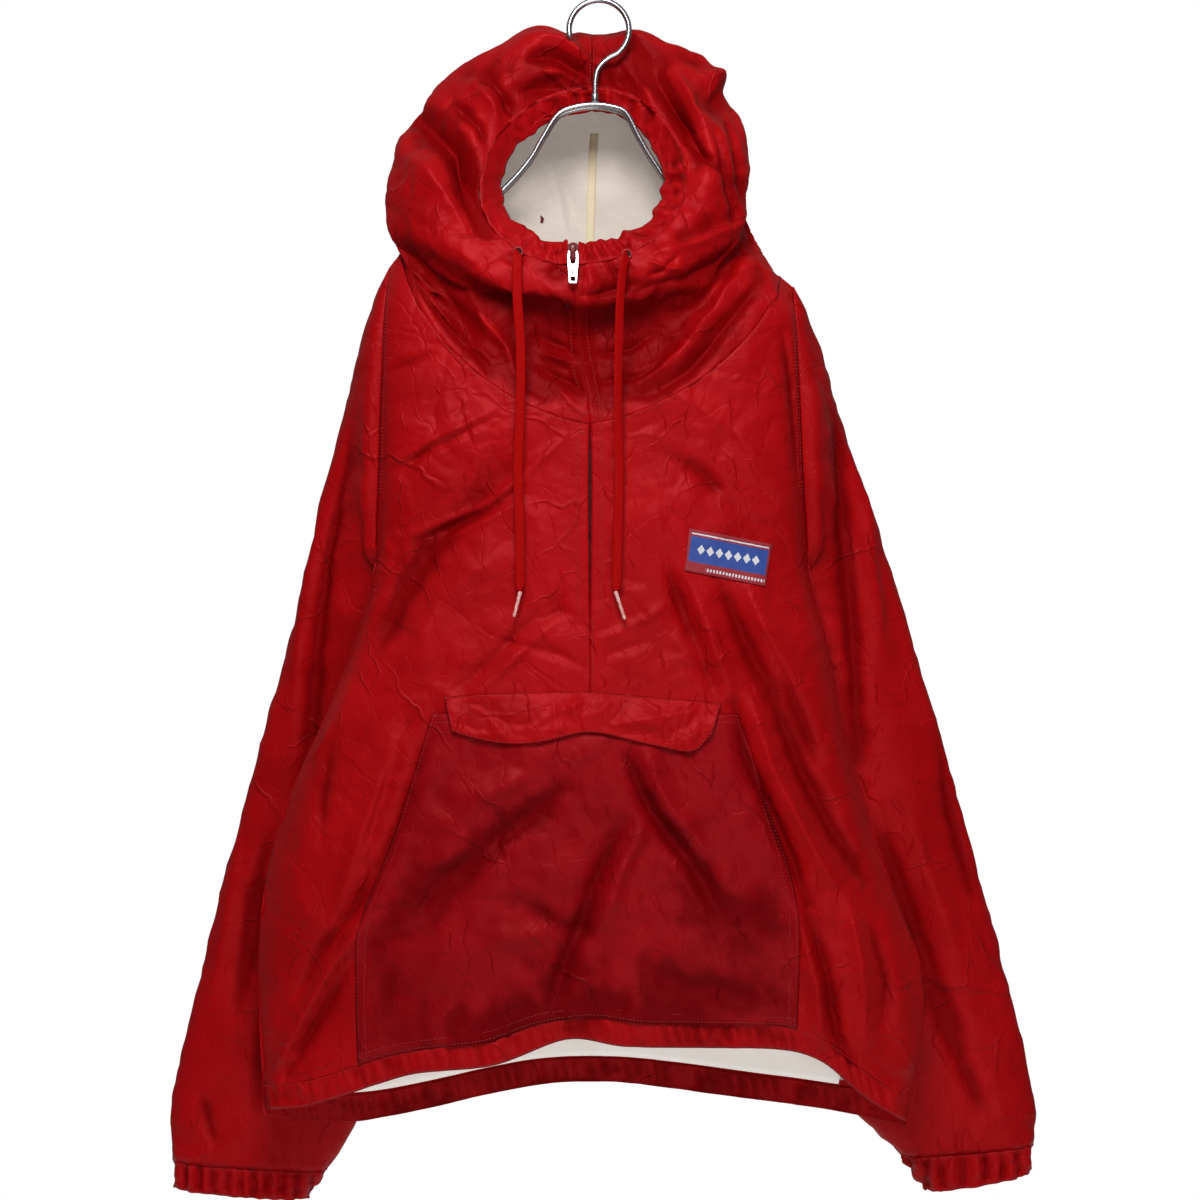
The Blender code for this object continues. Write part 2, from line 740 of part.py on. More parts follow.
def back_lining(cream):
    """Lining on the inside of the back's lower edge, which shows below the front hem."""
    grid, normals = back_grid()
    grid, normals = grid[-3:, 2:-2], normals[-3:, 2:-2]
    grid = grid - normals * (WALL + BACK_LINING_GAP)
    grid[-1, :, 2] += BACK_LINING_LIFT
    cloth_wall("back_lining", grid, normals, cream, wall=LINING_WALL)


def hem(name, panel_edge, edge, front, red):
    """A gathered casing along a lower edge, hung from the points of the panel's last row."""
    places = np.linspace(0, len(panel_edge) - 1, 2 * len(panel_edge) - 1)
    known = np.arange(len(panel_edge))
    top = np.stack([np.interp(places, known, panel_edge[:, axis]) for axis in range(3)], axis=-1)
    top[:, 2] -= GAP
    gather = HEM_GATHER * np.cos(np.arange(len(top)) * math.pi)
    gather[:2] = 0
    gather[-2:] = 0
    rows = [top]
    for drop in (0.5, 1.0):
        x = top[:, 0].copy()
        z = top[:, 2] + (along(edge, x, 1) - top[:, 2]) * drop
        x[0], x[-1] = along(BODY_SIDES, z[0], 1), along(BODY_SIDES, z[-1], 2)
        out = (gather + 0.4) * math.sin(math.pi * drop)
        y = body_surface(x, z, front)
        y = y - SEAM - out if front else y + SEAM + out
        rows.append(np.stack([x, y, z], axis=-1))
    grid = np.stack(rows)
    cloth_wall(name, grid, body_normals(grid, front, (0, -1)), red, wall=HEM_WALL)


def sleeve_ring(row, angles):
    """One ring of a sleeve: 0 at its outer edge, 90 at the front."""
    outer_x, outer_z, inner_x, inner_z, middle_y, half_depth = row
    turn = np.radians(angles)
    out = 0.5 + 0.5 * signed_power(np.cos(turn), SLEEVE_FLATNESS)
    x = inner_x + (outer_x - inner_x) * out
    z = inner_z + (outer_z - inner_z) * out
    y = middle_y - half_depth * signed_power(np.sin(turn), SLEEVE_FLATNESS)
    return np.stack([x, y, z], axis=-1)


def armhole_ring(direction, angles):
    """The sleeve's first ring, just outside the body's side edge."""
    turn = np.radians(angles)
    top = shoulder_z(direction * 400)
    rise = 0.5 + 0.5 * signed_power(np.cos(turn), SLEEVE_FLATNESS)
    z = UNDERARM_Z + (top - UNDERARM_Z) * rise
    x = along(BODY_SIDES, z, 1 if direction < 0 else 2) + direction * GAP
    front = np.sin(turn) >= 0
    y = np.where(front, -armhole_depth(z), armhole_depth(z))
    return np.stack([x, y, z], axis=-1)


def sleeve(name, direction, rows, folds, cuff_end, red):
    """A sleeve tube from the armhole to the cuff, and its gathered cuff."""
    angles = np.linspace(0, 360, SLEEVE_STEPS, endpoint=False)
    grid = np.stack([armhole_ring(direction, angles)] + [sleeve_ring(row, angles) for row in rows])
    normals = direction * grid_normals(grid, True)
    normals[0, :, 0] = 0
    normals = unit(normals)
    count = np.arange(len(grid))
    for fold_row, fold_angle, row_width, angle_width, height in folds:
        near = np.exp(-(((angles - fold_angle + 180) % 360 - 180) / angle_width) ** 2)
        lift = np.exp(-(((count - fold_row) / row_width) ** 2))
        grid = grid + height * (lift[:, None] * near[None, :])[..., None] * normals
    cloth_wall(f"sleeve_{name}", grid, normals, red, closed=True)

    cuff_rows = smooth_rows((rows[-1], cuff_end), (0.0, 0.5, 1.0))
    cuff = np.stack([sleeve_ring(row, angles) for row in cuff_rows])
    cuff_normals = direction * grid_normals(cuff, True)
    gather = CUFF_GATHER * np.cos(np.arange(len(angles)) * math.pi)
    cuff[1:] += gather[None, :, None] * cuff_normals[1:]
    step = cuff[1] - cuff[0]
    cuff[0] = grid[-1] + GAP * step / np.linalg.norm(step, axis=-1, keepdims=True)
    cuff_normals[0] = normals[-1]
    cloth_wall(f"cuff_{name}", cuff, cuff_normals, red, wall=CUFF_WALL, closed=True)


def outer_tree(names):
    """A search tree over the faces of finished cloth pieces, in millimetres."""
    points, faces = [], []
    for name in names:
        mesh = bpy.data.objects[name].data
        start = len(points)
        points += [vertex.co / MM for vertex in mesh.vertices]
        faces += [tuple(start + index for index in polygon.vertices) for polygon in mesh.polygons]
    return BVHTree.FromPolygons(points, faces)


def front_of(tree, x, z):
    """y of the first cloth met from the front at x and z."""
    hit = tree.ray_cast(Vector((x, -400, z)), Vector((0, 1, 0)))[0]
    return hit.y


def lay_on(tree, x, z, lift):
    """Grid points laid on cloth from the front and moved out by lift."""
    lift = np.broadcast_to(lift, x.shape)
    y = [front_of(tree, a, b) for a, b in zip(x.ravel(), z.ravel())]
    return np.stack([x, np.reshape(y, x.shape) - lift, z], axis=-1)


def facing_front(grid):
    """Normals for a piece that lies on the front: straight at the viewer."""
    normals = np.zeros_like(grid)
    normals[..., 1] = -1
    return normals


def pocket(red):
    tree = outer_tree(("front_left", "front_right"))
    heights = np.linspace(POCKET_EDGES[0][0], POCKET_EDGES[-1][0], 9)
    across = np.linspace(0, 1, 13)
    z = np.repeat(heights[:, None], len(across), axis=1)
    left = along(POCKET_EDGES, z, 1)
    right = along(POCKET_EDGES, z, 2)
    x = left + (right - left) * across[None, :]
    swell_across = np.sin(math.pi * across)[None, :] ** 0.5
    swell_down = np.sin(math.pi * np.linspace(0.04, 0.96, 9))[:, None] ** 0.5
    swell = swell_across * swell_down
    grid = lay_on(tree, x, z, WALL + POCKET_LIFT + POCKET_SWELL * swell)
    cloth_wall("pocket", grid, facing_front(grid), red)


def pocket_flap(red):
    tree = outer_tree(("front_left", "front_right"))
    edges = smooth_rows(FLAP_EDGES, np.linspace(0, len(FLAP_EDGES) - 1, 13))
    down = np.array(FLAP_ROWS)
    x = np.repeat(edges[:, 0][None, :], len(down), axis=0)
    z = edges[:, 1][None, :] + (edges[:, 2] - edges[:, 1])[None, :] * down[:, None]
    grid = lay_on(tree, x, z, np.array(FLAP_LIFTS)[:, None])
    cloth_wall("pocket_flap", grid, facing_front(grid), red)


def chest_patch(blue):
    tree = outer_tree(("front_left", "front_right"))
    corners = np.array(PATCH_CORNERS, float)
    across = np.linspace(0, 1, 6)[None, :, None]
    down = np.linspace(0, 1, 4)[:, None, None]
    top = corners[0] + (corners[1] - corners[0]) * across
    low = corners[3] + (corners[2] - corners[3]) * across
    flat = top + (low - top) * down
    grid = lay_on(tree, flat[..., 0], flat[..., 1], PATCH_LIFT)
    cloth_wall("chest_patch", grid, facing_front(grid), blue, wall=PATCH_WALL)


def zip_line(places):
    """Middle of the zip on the cloth's outer side, with the outward normal of each point."""
    hood = np.stack([hood_points(place, [180.0])[0] for place in places])
    z = np.linspace(-376, ZIP_END_Z, 5)
    x = np.full_like(z, CENTRE_X)
    chest = np.stack([x, body_surface(x, z, True), z], axis=-1)
    line = np.concatenate([hood, chest])
    run = np.gradient(line, axis=0)
    out = np.stack([np.zeros(len(line)), run[:, 2], -run[:, 1]], axis=-1)
    return line, out / np.linalg.norm(out, axis=-1, keepdims=True)


# The zip tape across: distance from the middle, and whether the point is on the raised chain
TAPE_COLUMNS = ((-8.0, 0), (-3.2, 0), (-2.6, 1), (2.6, 1), (3.2, 0), (8.0, 0))
TAPE_DEPTH = WALL + 3.4       # behind the casing
TAPE_DEPTH_BELOW = WALL + 1.8
CHAIN_LIFT = 1.3              # in front of the casing, where the slit is wide enough


def zip_tape(dark):
    """The zip's tape behind the slit, with its chain raised into the wide top of the slit."""
    places = (0.1, 0.5, 1.0, 1.3) + HOOD_PLACES[2:]
    line, out = zip_line(places)
    number = np.arange(len(line))
    depth = np.interp(number, (2, 5), (TAPE_DEPTH, TAPE_DEPTH_BELOW))
    raised = np.where(number < 3, CHAIN_LIFT, -depth)
    columns = []
    for offset, on_chain in TAPE_COLUMNS:
        lift = raised if on_chain else -depth
        columns.append(line + out * lift[:, None] + np.array((offset, 0, 0)))
    grid = np.stack(columns, axis=1)
    normals = np.repeat(out[:, None, :], len(TAPE_COLUMNS), axis=1)
    cloth_wall("zip_tape", grid, normals, dark, wall=1.0)


SLIDER_TOP = (-21.5, -212.0)   # x and height of the slider's upper end
SLIDER_SIZE = (8.0, 3.2, 10.0)
SLIDER_CLEAR = CHAIN_LIFT + 0.6
ARCH_REACH = 4.6
ARCH_HALF_HEIGHT = 3.6
ARCH_WIRE_RADIUS = 0.75
PULL_AXIS = (-21.5, -59.1, -216.1)
PULL_TILT = 15.5         # degrees, the tab resting on the slider's lower edge
PULL_THICKNESS = 1.5
# Outline of the pull tab: height below its axis, half width, half width of the opening there
PULL_ROWS = (
    (1.0, 3.6, 0.0),
    (-1.0, 3.6, 2.0),
    (-9.5, 4.3, 2.0),
    (-13.0, 4.0, 0.0),
    (-20.5, 3.2, 1.6),
    (-25.5, 3.0, 1.6),
    (-27.5, 2.8, 0.0),
)


def zip_slider(steel):
    """The slider's body with the arch that carries the tab."""
    line, out = zip_line((0.1, 0.5, 1.0))
    width, depth, height = SLIDER_SIZE
    bpy.ops.mesh.primitive_cube_add(size=1)
    body = bpy.context.object
    body.name = "zip_slider"
    body.scale = (width * MM, depth * MM, height * MM)
    bpy.ops.object.transform_apply(location=False, rotation=False, scale=True)
    bevel = body.modifiers.new("edges", "BEVEL")
    bevel.width = 0.7 * MM
    bevel.segments = 2
    body.rotation_euler.x = -math.atan2(out[1, 2], -out[1, 1])
    centre_z = SLIDER_TOP[1] - height / 2
    centre_y = float(np.interp(-centre_z, -line[:, 2], line[:, 1])) - depth / 2 - SLIDER_CLEAR
    body.location = (SLIDER_TOP[0] * MM, centre_y * MM, centre_z * MM)
    body.data.materials.append(steel)
    bpy.context.view_layer.update()
    arch_points = []
    for step in range(13):
        turn = math.radians(step * 15)
        arch_points.append(Vector((0, -math.sin(turn) * ARCH_REACH - 1, math.cos(turn) * ARCH_HALF_HEIGHT)))
    turned = [body.matrix_world @ (point * MM) for point in arch_points]
    arch = tube("slider_arch", [point / MM for point in turned], ARCH_WIRE_RADIUS, steel)
    graph = bpy.context.evaluated_depsgraph_get()
    arch_mesh = bpy.data.meshes.new_from_object(arch.evaluated_get(graph))
    cutter = bpy.data.objects.new("slider_arch_solid", arch_mesh)
    bpy.context.scene.collection.objects.link(cutter)
    bpy.data.objects.remove(arch)
    cutter.hide_render = True
    cutter.display_type = "WIRE"
    join = body.modifiers.new("arch", "BOOLEAN")
    join.operation = "UNION"
    join.object = cutter


def zip_pull(steel):
    """The pull tab: a plate with a slot at its top bar and a window near its end."""
    points, faces = [], []
    rows = [(z, outer, inner) for z, outer, inner in PULL_ROWS]
    half = PULL_THICKNESS / 2
    columns = []
    for z, outer, inner in rows:
        inner = inner if inner else 1.6
        columns.append([(-outer, z), (-inner, z), (inner, z), (outer, z)])
    count = len(rows) * 4
    for y in (-half, half):
        for row in columns:
            points += [(x, y, z) for x, z in row]
    open_rows = [index for index in range(len(rows) - 1) if rows[index][2] and rows[index + 1][2]]
    filled = {(row, column) for row in range(len(rows) - 1) for column in range(3)}
    filled -= {(row, 1) for row in open_rows}
    edges = {}
    for row, column in filled:
        a = row * 4 + column
        loop = (a, a + 1, a + 5, a + 4)
        faces.append(loop)
        faces.append(tuple(index + count for index in reversed(loop)))
        for start, end in zip(loop, loop[1:] + loop[:1]):
            edges.setdefault(frozenset((start, end)), []).append((start, end))
    for pair in edges.values():
        if len(pair) == 1:
            start, end = pair[0]
            faces.append((end, start, start + count, end + count))
    pull = add_mesh("zip_pull", points, faces, steel)
    pull.location = Vector(PULL_AXIS) * MM
    pull.rotation_euler.x = -math.radians(PULL_TILT)


def cord_end(name, route, tip_end, cord, clear):
    """One free end of the drawcord, its tip, and the worked eyelet that it leaves by."""
    points = smooth_rows(route, np.linspace(0, len(route) - 1, 5 * (len(route) - 1) + 1))
    tube(f"drawcord_{name}", points, CORD_RADIUS, cord)
    end = Vector(points[-1])
    direction = (Vector(tip_end) - end).normalized()
    start = end + direction * TIP_CLEAR
    tip = [start, start.lerp(Vector(tip_end), 0.5), Vector(tip_end)]
    tube(f"aglet_{name}", tip, TIP_RADIUS, clear, sides=3)


def eyelet(name, middle, red):
    """A small worked ring on the casing, in front of its cloth, that the cord leaves by."""
    x, y, z = middle
    ring = [
        (x + EYELET_RADIUS * math.cos(turn), y, z + EYELET_RADIUS * math.sin(turn))
        for turn in np.linspace(0, 2 * math.pi, 14, endpoint=False)
    ]
    tube(f"eyelet_{name}", ring, EYELET_THREAD_RADIUS, red, cyclic=True)


def hanger(chrome):
    """Two parallel wires joined at their ends, a ferrule on the bridge, and the hook."""
    line = HANGER_ARM[::-1] + HANGER_ARM_RIGHT
    smooth = smooth_rows(line, np.linspace(0, len(line) - 1, 2 * (len(line) - 1) + 1))
    outwards = np.clip(np.abs(smooth[:, 0] - HANGER_ARM[0][0]) / 140, 0, 1)
    half = ROD_HALF_SPACING + (ROD_END_HALF_SPACING - ROD_HALF_SPACING) * outwards
    middle = -ROD_FORWARD * outwards
    front = np.stack([smooth[:, 0], middle - half, smooth[:, 1]], axis=-1)
    back = np.stack([smooth[:, 0], middle + half, smooth[:, 1] - BACK_ROD_DROP], axis=-1)[::-1]
    turns = []
    for (x, y, z), direction in ((front[-1], 1), (back[-1], -1)):
        for step in (45, 90, 135):
            angle = math.radians(step)
            turns.append(
                (
                    x + direction * 0.9 * ROD_END_HALF_SPACING * math.sin(angle),
                    y + direction * ROD_END_HALF_SPACING * (1 - math.cos(angle)),
                    z - 0.6 * ROD_END_HALF_SPACING * math.sin(angle) - BACK_ROD_DROP / 2,
                )
            )
    route = [tuple(point) for point in front] + turns[:3] + [tuple(point) for point in back] + turns[3:]
    tube("hanger_rods", route, ROD_RADIUS, chrome, cyclic=True, sides=2)

    bridge_x, bridge_z = HANGER_ARM[0]
    bpy.ops.mesh.primitive_cylinder_add(
        vertices=20, radius=FERRULE_RADIUS * MM, depth=FERRULE_HEIGHT * MM
    )
    ferrule = bpy.context.object
    ferrule.name = "hanger_ferrule"
    ferrule_bottom = bridge_z + ROD_RADIUS + 1.5 * GAP
    ferrule.location = (bridge_x * MM, 0, (ferrule_bottom + FERRULE_HEIGHT / 2) * MM)
    ferrule.data.shade_smooth()
    ferrule.data.set_sharp_from_angle(angle=math.radians(40))
    ferrule.data.materials.append(chrome)

    stem_bottom = ferrule_bottom + FERRULE_HEIGHT + GAP
    points = [(bridge_x, 0, stem_bottom)] + list(HOOK_STEM)
    ring_z = -HOOK_RADIUS + HOOK_WIRE_RADIUS
    for turn in np.arange(-50, 206, 16):  # from the stem, over the top, to the open end
        angle = math.radians(turn)
        points.append((HOOK_RADIUS * math.cos(angle), 0, ring_z + HOOK_RADIUS * math.sin(angle)))
    route = smooth_rows(points, np.linspace(0, len(points) - 1, 2 * (len(points) - 1) + 1))
    tube("hanger_hook", route, HOOK_WIRE_RADIUS, chrome, sides=3)


def main():
    for existing in list(bpy.data.objects):
        bpy.data.objects.remove(existing)
    red = finish("red_nylon", (0.38, 0.012, 0.014), 0.42)
    cream = finish("cream_lining", (0.68, 0.62, 0.52), 0.85)
    cord = finish("cord_braid", (0.42, 0.01, 0.012), 0.7)
    blue = finish("woven_patch", (0.03, 0.06, 0.28), 0.6)
    clear = finish("clear_tip", (0.8, 0.55, 0.5), 0.25)
    steel = finish("zip_metal", (0.75, 0.75, 0.76), 0.25, 1.0)
    chrome = finish("hanger_chrome", (0.8, 0.8, 0.82), 0.12, 1.0)

    left = front_panel("front_left", -1, red)
    right = front_panel("front_right", 1, red)
    back = back_panel(red)
    back_lining(cream)
    hem("front_hem", np.concatenate([left[-1, ::-1], right[-1, 1:]]), FRONT_HEM, True, red)
    hem("back_hem", back[-1], BACK_HEM, False, red)
    sleeve("left", -1, LEFT_SLEEVE, LEFT_SLEEVE_FOLDS, LEFT_CUFF_END, red)
    sleeve("right", 1, RIGHT_SLEEVE, RIGHT_SLEEVE_FOLDS, RIGHT_CUFF_END, red)
    build_hood(red)
    build_casing(red)
    build_hood_lining(cream)
    pocket(red)
    pocket_flap(red)
    chest_patch(blue)
    zip_tape(cord)
    zip_slider(steel)
    zip_pull(steel)
    eyelet("left", LEFT_EYELET, red)
    eyelet("right", RIGHT_EYELET, red)
    cord_end("left", LEFT_CORD, LEFT_TIP_END, cord, clear)
    cord_end("right", RIGHT_CORD, RIGHT_TIP_END, cord, clear)
    hanger(chrome)


main()
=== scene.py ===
"""A half-zip hooded windbreaker pullover hung on a chrome wire hanger."""
import json
import math

import bmesh
import bpy
import numpy as np
from mathutils import Matrix, Vector, noise
from mathutils.bvhtree import BVHTree
from mathutils.kdtree import KDTree

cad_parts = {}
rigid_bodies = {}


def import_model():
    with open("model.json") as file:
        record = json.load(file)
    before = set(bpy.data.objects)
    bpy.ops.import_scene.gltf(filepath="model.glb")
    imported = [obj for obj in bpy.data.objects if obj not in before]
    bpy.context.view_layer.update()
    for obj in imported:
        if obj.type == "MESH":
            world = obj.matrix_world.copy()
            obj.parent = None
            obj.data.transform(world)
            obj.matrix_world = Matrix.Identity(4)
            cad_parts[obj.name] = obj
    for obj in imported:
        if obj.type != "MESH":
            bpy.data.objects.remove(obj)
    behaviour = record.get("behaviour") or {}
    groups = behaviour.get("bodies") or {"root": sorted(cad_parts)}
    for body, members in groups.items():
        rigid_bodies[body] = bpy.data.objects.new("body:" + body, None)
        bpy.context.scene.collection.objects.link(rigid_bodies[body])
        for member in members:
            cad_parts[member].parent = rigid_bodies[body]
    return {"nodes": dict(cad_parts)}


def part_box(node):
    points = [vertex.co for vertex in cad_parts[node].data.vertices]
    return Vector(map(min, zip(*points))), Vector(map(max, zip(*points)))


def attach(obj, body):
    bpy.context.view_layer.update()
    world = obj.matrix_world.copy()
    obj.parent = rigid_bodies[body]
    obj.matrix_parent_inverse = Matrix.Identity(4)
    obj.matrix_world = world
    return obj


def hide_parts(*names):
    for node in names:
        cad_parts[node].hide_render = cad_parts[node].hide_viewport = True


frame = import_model()
bpy.ops.object.select_all(action="DESELECT")
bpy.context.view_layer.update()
MM = 0.001
# Noise vectors start from the clock unless they are seeded, and the creases would differ each run
CREASE_SEED = 1795344990
noise.seed_set(CREASE_SEED)

# ---------------------------------------------------------------- Camera
# A level camera in front of the middle of the garment, at the height of its chest. Its height and
# its distance take in the whole hanging garment, from the hook to the cuffs.
camera_data = bpy.data.cameras.new("camera")
camera_data.sensor_width = 36
camera_data.lens = 77.65
camera = bpy.data.objects.new("camera", camera_data)
camera.location = (0.00085, -2.2, -0.5075)
camera.rotation_euler = (math.pi / 2, 0, 0)
bpy.context.scene.collection.objects.link(camera)
bpy.context.scene.camera = camera


# ---------------------------------------------------------------- Drawcord
# The two free ends of the hood's cord: a flat braid of red polyester, 8 mm wide, that leaves the
# casing by an eyelet on each side and ends in a clipped-on clear tip.
CORD_WIDTH = 8.0
CORD_THICKNESS = 1.7
CORD_ROUTES = {
    "left": (
        (-67.0, -55.7, -219.3), (-67.1, -60.0, -220.6), (-67.3, -64.5, -225.5),
        (-67.6, -67.5, -236.0), (-67.2, -68.0, -260.0), (-65.0, -65.5, -292.0),
        (-64.6, -63.5, -326.0), (-65.6, -63.0, -360.0), (-66.9, -63.5, -402.0),
        (-65.4, -65.0, -449.0), (-65.2, -66.5, -502.0),
    ),
    "right": (
        (23.0, -56.7, -221.3), (22.6, -61.0, -222.6), (21.6, -65.5, -227.5),
        (19.4, -68.0, -238.0), (17.4, -68.5, -262.0), (16.5, -66.0, -292.0),
        (15.8, -64.5, -326.0), (16.2, -64.0, -360.0), (16.6, -64.5, -402.0),
        (15.7, -66.0, -449.0), (14.2, -68.0, -502.0),
    ),
}
TIP_ENDS = {"left": (-70.1, -67.0, -521.5), "right": (21.4, -68.5, -523.5)}
# How far the braid is turned from facing the front, along its length, in degrees
CORD_TURNS = {
    "left": (55, 35, 12, 4, 0, 3, 6, 2, -4, 0, 4),
    "right": (60, 45, 38, 34, 30, 26, 30, 24, 12, 6, 0),
}


def smooth_rows(rows, places):
    """Catmull-Rom curve through a table's rows, read at fractional row numbers."""
    values = np.array(rows, float)
    if values.ndim == 1:
        values = values[:, None]
    padded = np.vstack([2 * values[0] - values[1], values, 2 * values[-1] - values[-2]])
    low = np.minimum(np.asarray(places).astype(int), len(values) - 2)
    part = (np.asarray(places) - low)[:, None]
    before, start, end, after = (padded[low + step] for step in range(4))
    return (
        start
        + 0.5 * part * (end - before)
        + part**2 * (before - 2.5 * start + 2 * end - 0.5 * after)
        + part**3 * (1.5 * (start - end) + 0.5 * (after - before))
    )


def shader(name, colour, roughness, metallic=0.0):
    """A Principled material with its node tree, its shader node and its coordinates node."""
    material = bpy.data.materials.new(name)
    material.use_nodes = True
    tree = material.node_tree
    surface = tree.nodes["Principled BSDF"]
    surface.inputs["Base Color"].default_value = (*colour, 1)
    surface.inputs["Roughness"].default_value = roughness
    surface.inputs["Metallic"].default_value = metallic
    place = tree.nodes.new("ShaderNodeTexCoord")
    return material, tree, surface, place


def texture(tree, kind, vector, scale, detail=2.0, **inputs):
    """A procedural texture node read at the given coordinates."""
    node = tree.nodes.new(kind)
    node.inputs["Scale"].default_value = scale
    if "Detail" in node.inputs:
        node.inputs["Detail"].default_value = detail
    for key, value in inputs.items():
        node.inputs[key].default_value = value
    tree.links.new(vector, node.inputs["Vector"])
    return node


def stretched(tree, vector, scale, turn=(0, 0, 0)):
    """Coordinates turned and stretched by a Mapping node."""
    node = tree.nodes.new("ShaderNodeMapping")
    node.inputs["Scale"].default_value = scale
    node.inputs["Rotation"].default_value = turn
    tree.links.new(vector, node.inputs["Vector"])
    return node.outputs["Vector"]


def bump(tree, height, distance, strength=1.0, before=None):
    """A Bump node, on top of the one before it."""
    node = tree.nodes.new("ShaderNodeBump")
    node.inputs["Strength"].default_value = strength
    node.inputs["Distance"].default_value = distance
    tree.links.new(height, node.inputs["Height"])
    if before is not None:
        tree.links.new(before, node.inputs["Normal"])
    return node.outputs["Normal"]


def ramp(tree, value, stops):
    """A colour ramp through (position, colour) stops."""
    node = tree.nodes.new("ShaderNodeValToRGB")
    elements = node.color_ramp.elements
    while len(elements) < len(stops):
        elements.new(0.5)
    for element, (position, colour) in zip(elements, stops):
        element.position = position
        element.color = (*colour, 1)
    tree.links.new(value, node.inputs["Fac"])
    return node.outputs["Color"]


def combine(tree, operation, first, second):
    """A Math node; the second value is a socket or a number."""
    node = tree.nodes.new("ShaderNodeMath")
    node.operation = operation
    tree.links.new(first, node.inputs[0])
    if isinstance(second, (int, float)):
        node.inputs[1].default_value = second
    else:
        tree.links.new(second, node.inputs[1])
    return node.outputs["Value"]


def span(tree, value, before, after):
    """A value carried smoothly from one range to another, and held at its ends."""
    node = tree.nodes.new("ShaderNodeMapRange")
    node.interpolation_type = "SMOOTHSTEP"
    for name, number in zip(("From Min", "From Max", "To Min", "To Max"), (*before, *after)):
        node.inputs[name].default_value = number
    tree.links.new(value, node.inputs["Value"])
    return node.outputs["Result"]


def braid_material():
    """Flat polyester braid: two sets of strands that cross at a slant, read from the UV map."""
    material, tree, surface, place = shader("cord_braid", (0.42, 0.006, 0.010), 0.55)
    strands = []
    for turn in (0.62, -0.62):
        turned = stretched(tree, place.outputs["UV"], (1, 1, 1), (0, 0, turn))
        strands.append(texture(tree, "ShaderNodeTexWave", turned, 190, 0).outputs["Fac"])
    weave = combine(tree, "MULTIPLY", strands[0], strands[1])
    fibres = texture(tree, "ShaderNodeTexNoise", place.outputs["UV"], 2600, 3)
    shades = combine(tree, "MULTIPLY_ADD", fibres.outputs["Fac"], 0.35)
    tree.links.new(weave, shades.node.inputs[2])
    colour = ramp(tree, shades, ((0.0, (0.30, 0.0010, 0.0014)), (1.0, (0.46, 0.0018, 0.0022))))
    tree.links.new(colour, surface.inputs["Base Color"])
    normal = bump(tree, weave, 0.0004, 0.8)
    tree.links.new(normal, surface.inputs["Normal"])
    surface.inputs["Specular IOR Level"].default_value = 0.2
    surface.inputs["Specular Tint"].default_value = (1.0, 0.2, 0.2, 1)
    return material


def add_grid(name, grid, closed, material, uv=None):
    """A mesh from a grid of points in millimetres; each row may be closed into a ring."""
    rows, columns = grid.shape[:2]
    faces = []
    for row in range(rows - 1):
        for column in range(columns if closed else columns - 1):
            following = (column + 1) % columns
            a, b = row * columns + column, row * columns + following
            faces.append((a, b, b + columns, a + columns))
    mesh = bpy.data.meshes.new(name)
    mesh.from_pydata([tuple(point) for point in grid.reshape(-1, 3) * MM], [], faces)
    if uv is not None:
        layer = mesh.uv_layers.new(name="UVMap")
        flat = uv.reshape(-1, 2)
        for loop in mesh.loops:
            layer.data[loop.index].uv = flat[loop.vertex_index]
    mesh.materials.append(material)
    made = bpy.data.objects.new(name, mesh)
    bpy.context.scene.collection.objects.link(made)
    return made


def close_ends(piece):
    """Fills the holes at both ends and turns every face outwards."""
    built = bmesh.new()
    built.from_mesh(piece.data)
    bmesh.ops.holes_fill(built, edges=built.edges, sides=0)
    bmesh.ops.recalc_face_normals(built, faces=built.faces)
    if built.calc_volume(signed=True) < 0:
        bmesh.ops.reverse_faces(built, faces=built.faces)
    built.to_mesh(piece.data)
    built.free()
    return piece


def sweep(name, path, widths, depths, turns, sides, material, sideways=None):
    """A closed tube along a path whose section is a rounded oblong, with a UV map in metres."""
    path = np.array(path, float)
    run = np.gradient(path, axis=0)
    run /= np.linalg.norm(run, axis=1, keepdims=True)
    away = np.array((0.0, -1.0, 0.0))
    across = np.cross(run, away) if sideways is None else np.tile(sideways, (len(path), 1))
    across = across / np.linalg.norm(across, axis=1, keepdims=True)
    out = np.cross(across, run)
    length = np.concatenate([[0], np.cumsum(np.linalg.norm(np.diff(path, axis=0), axis=1))])
    angles = np.linspace(0, 2 * math.pi, sides, endpoint=False)
    rings, uv = [], []
    for place, turn in enumerate(np.radians(turns)):
        side = across[place] * math.cos(turn) + out[place] * math.sin(turn)
        front = out[place] * math.cos(turn) - across[place] * math.sin(turn)
        x = np.sign(np.cos(angles)) * np.abs(np.cos(angles)) ** 0.7 * widths[place] / 2
        y = np.sign(np.sin(angles)) * np.abs(np.sin(angles)) ** 0.8 * depths[place] / 2
        rings.append(path[place] + x[:, None] * side + y[:, None] * front)
        uv.append(np.stack([x, np.full(sides, length[place])], axis=-1) * MM)
    made = add_grid(name, np.stack(rings), True, material, np.stack(uv))
    close_ends(made)
    made.data.shade_smooth()
    return made


def belongs(piece, node=None, body="garment"):
    """Attaches a piece to the body it moves with, and hides the CAD node it stands for."""
    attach(piece, body)
    if node:
        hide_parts(node)


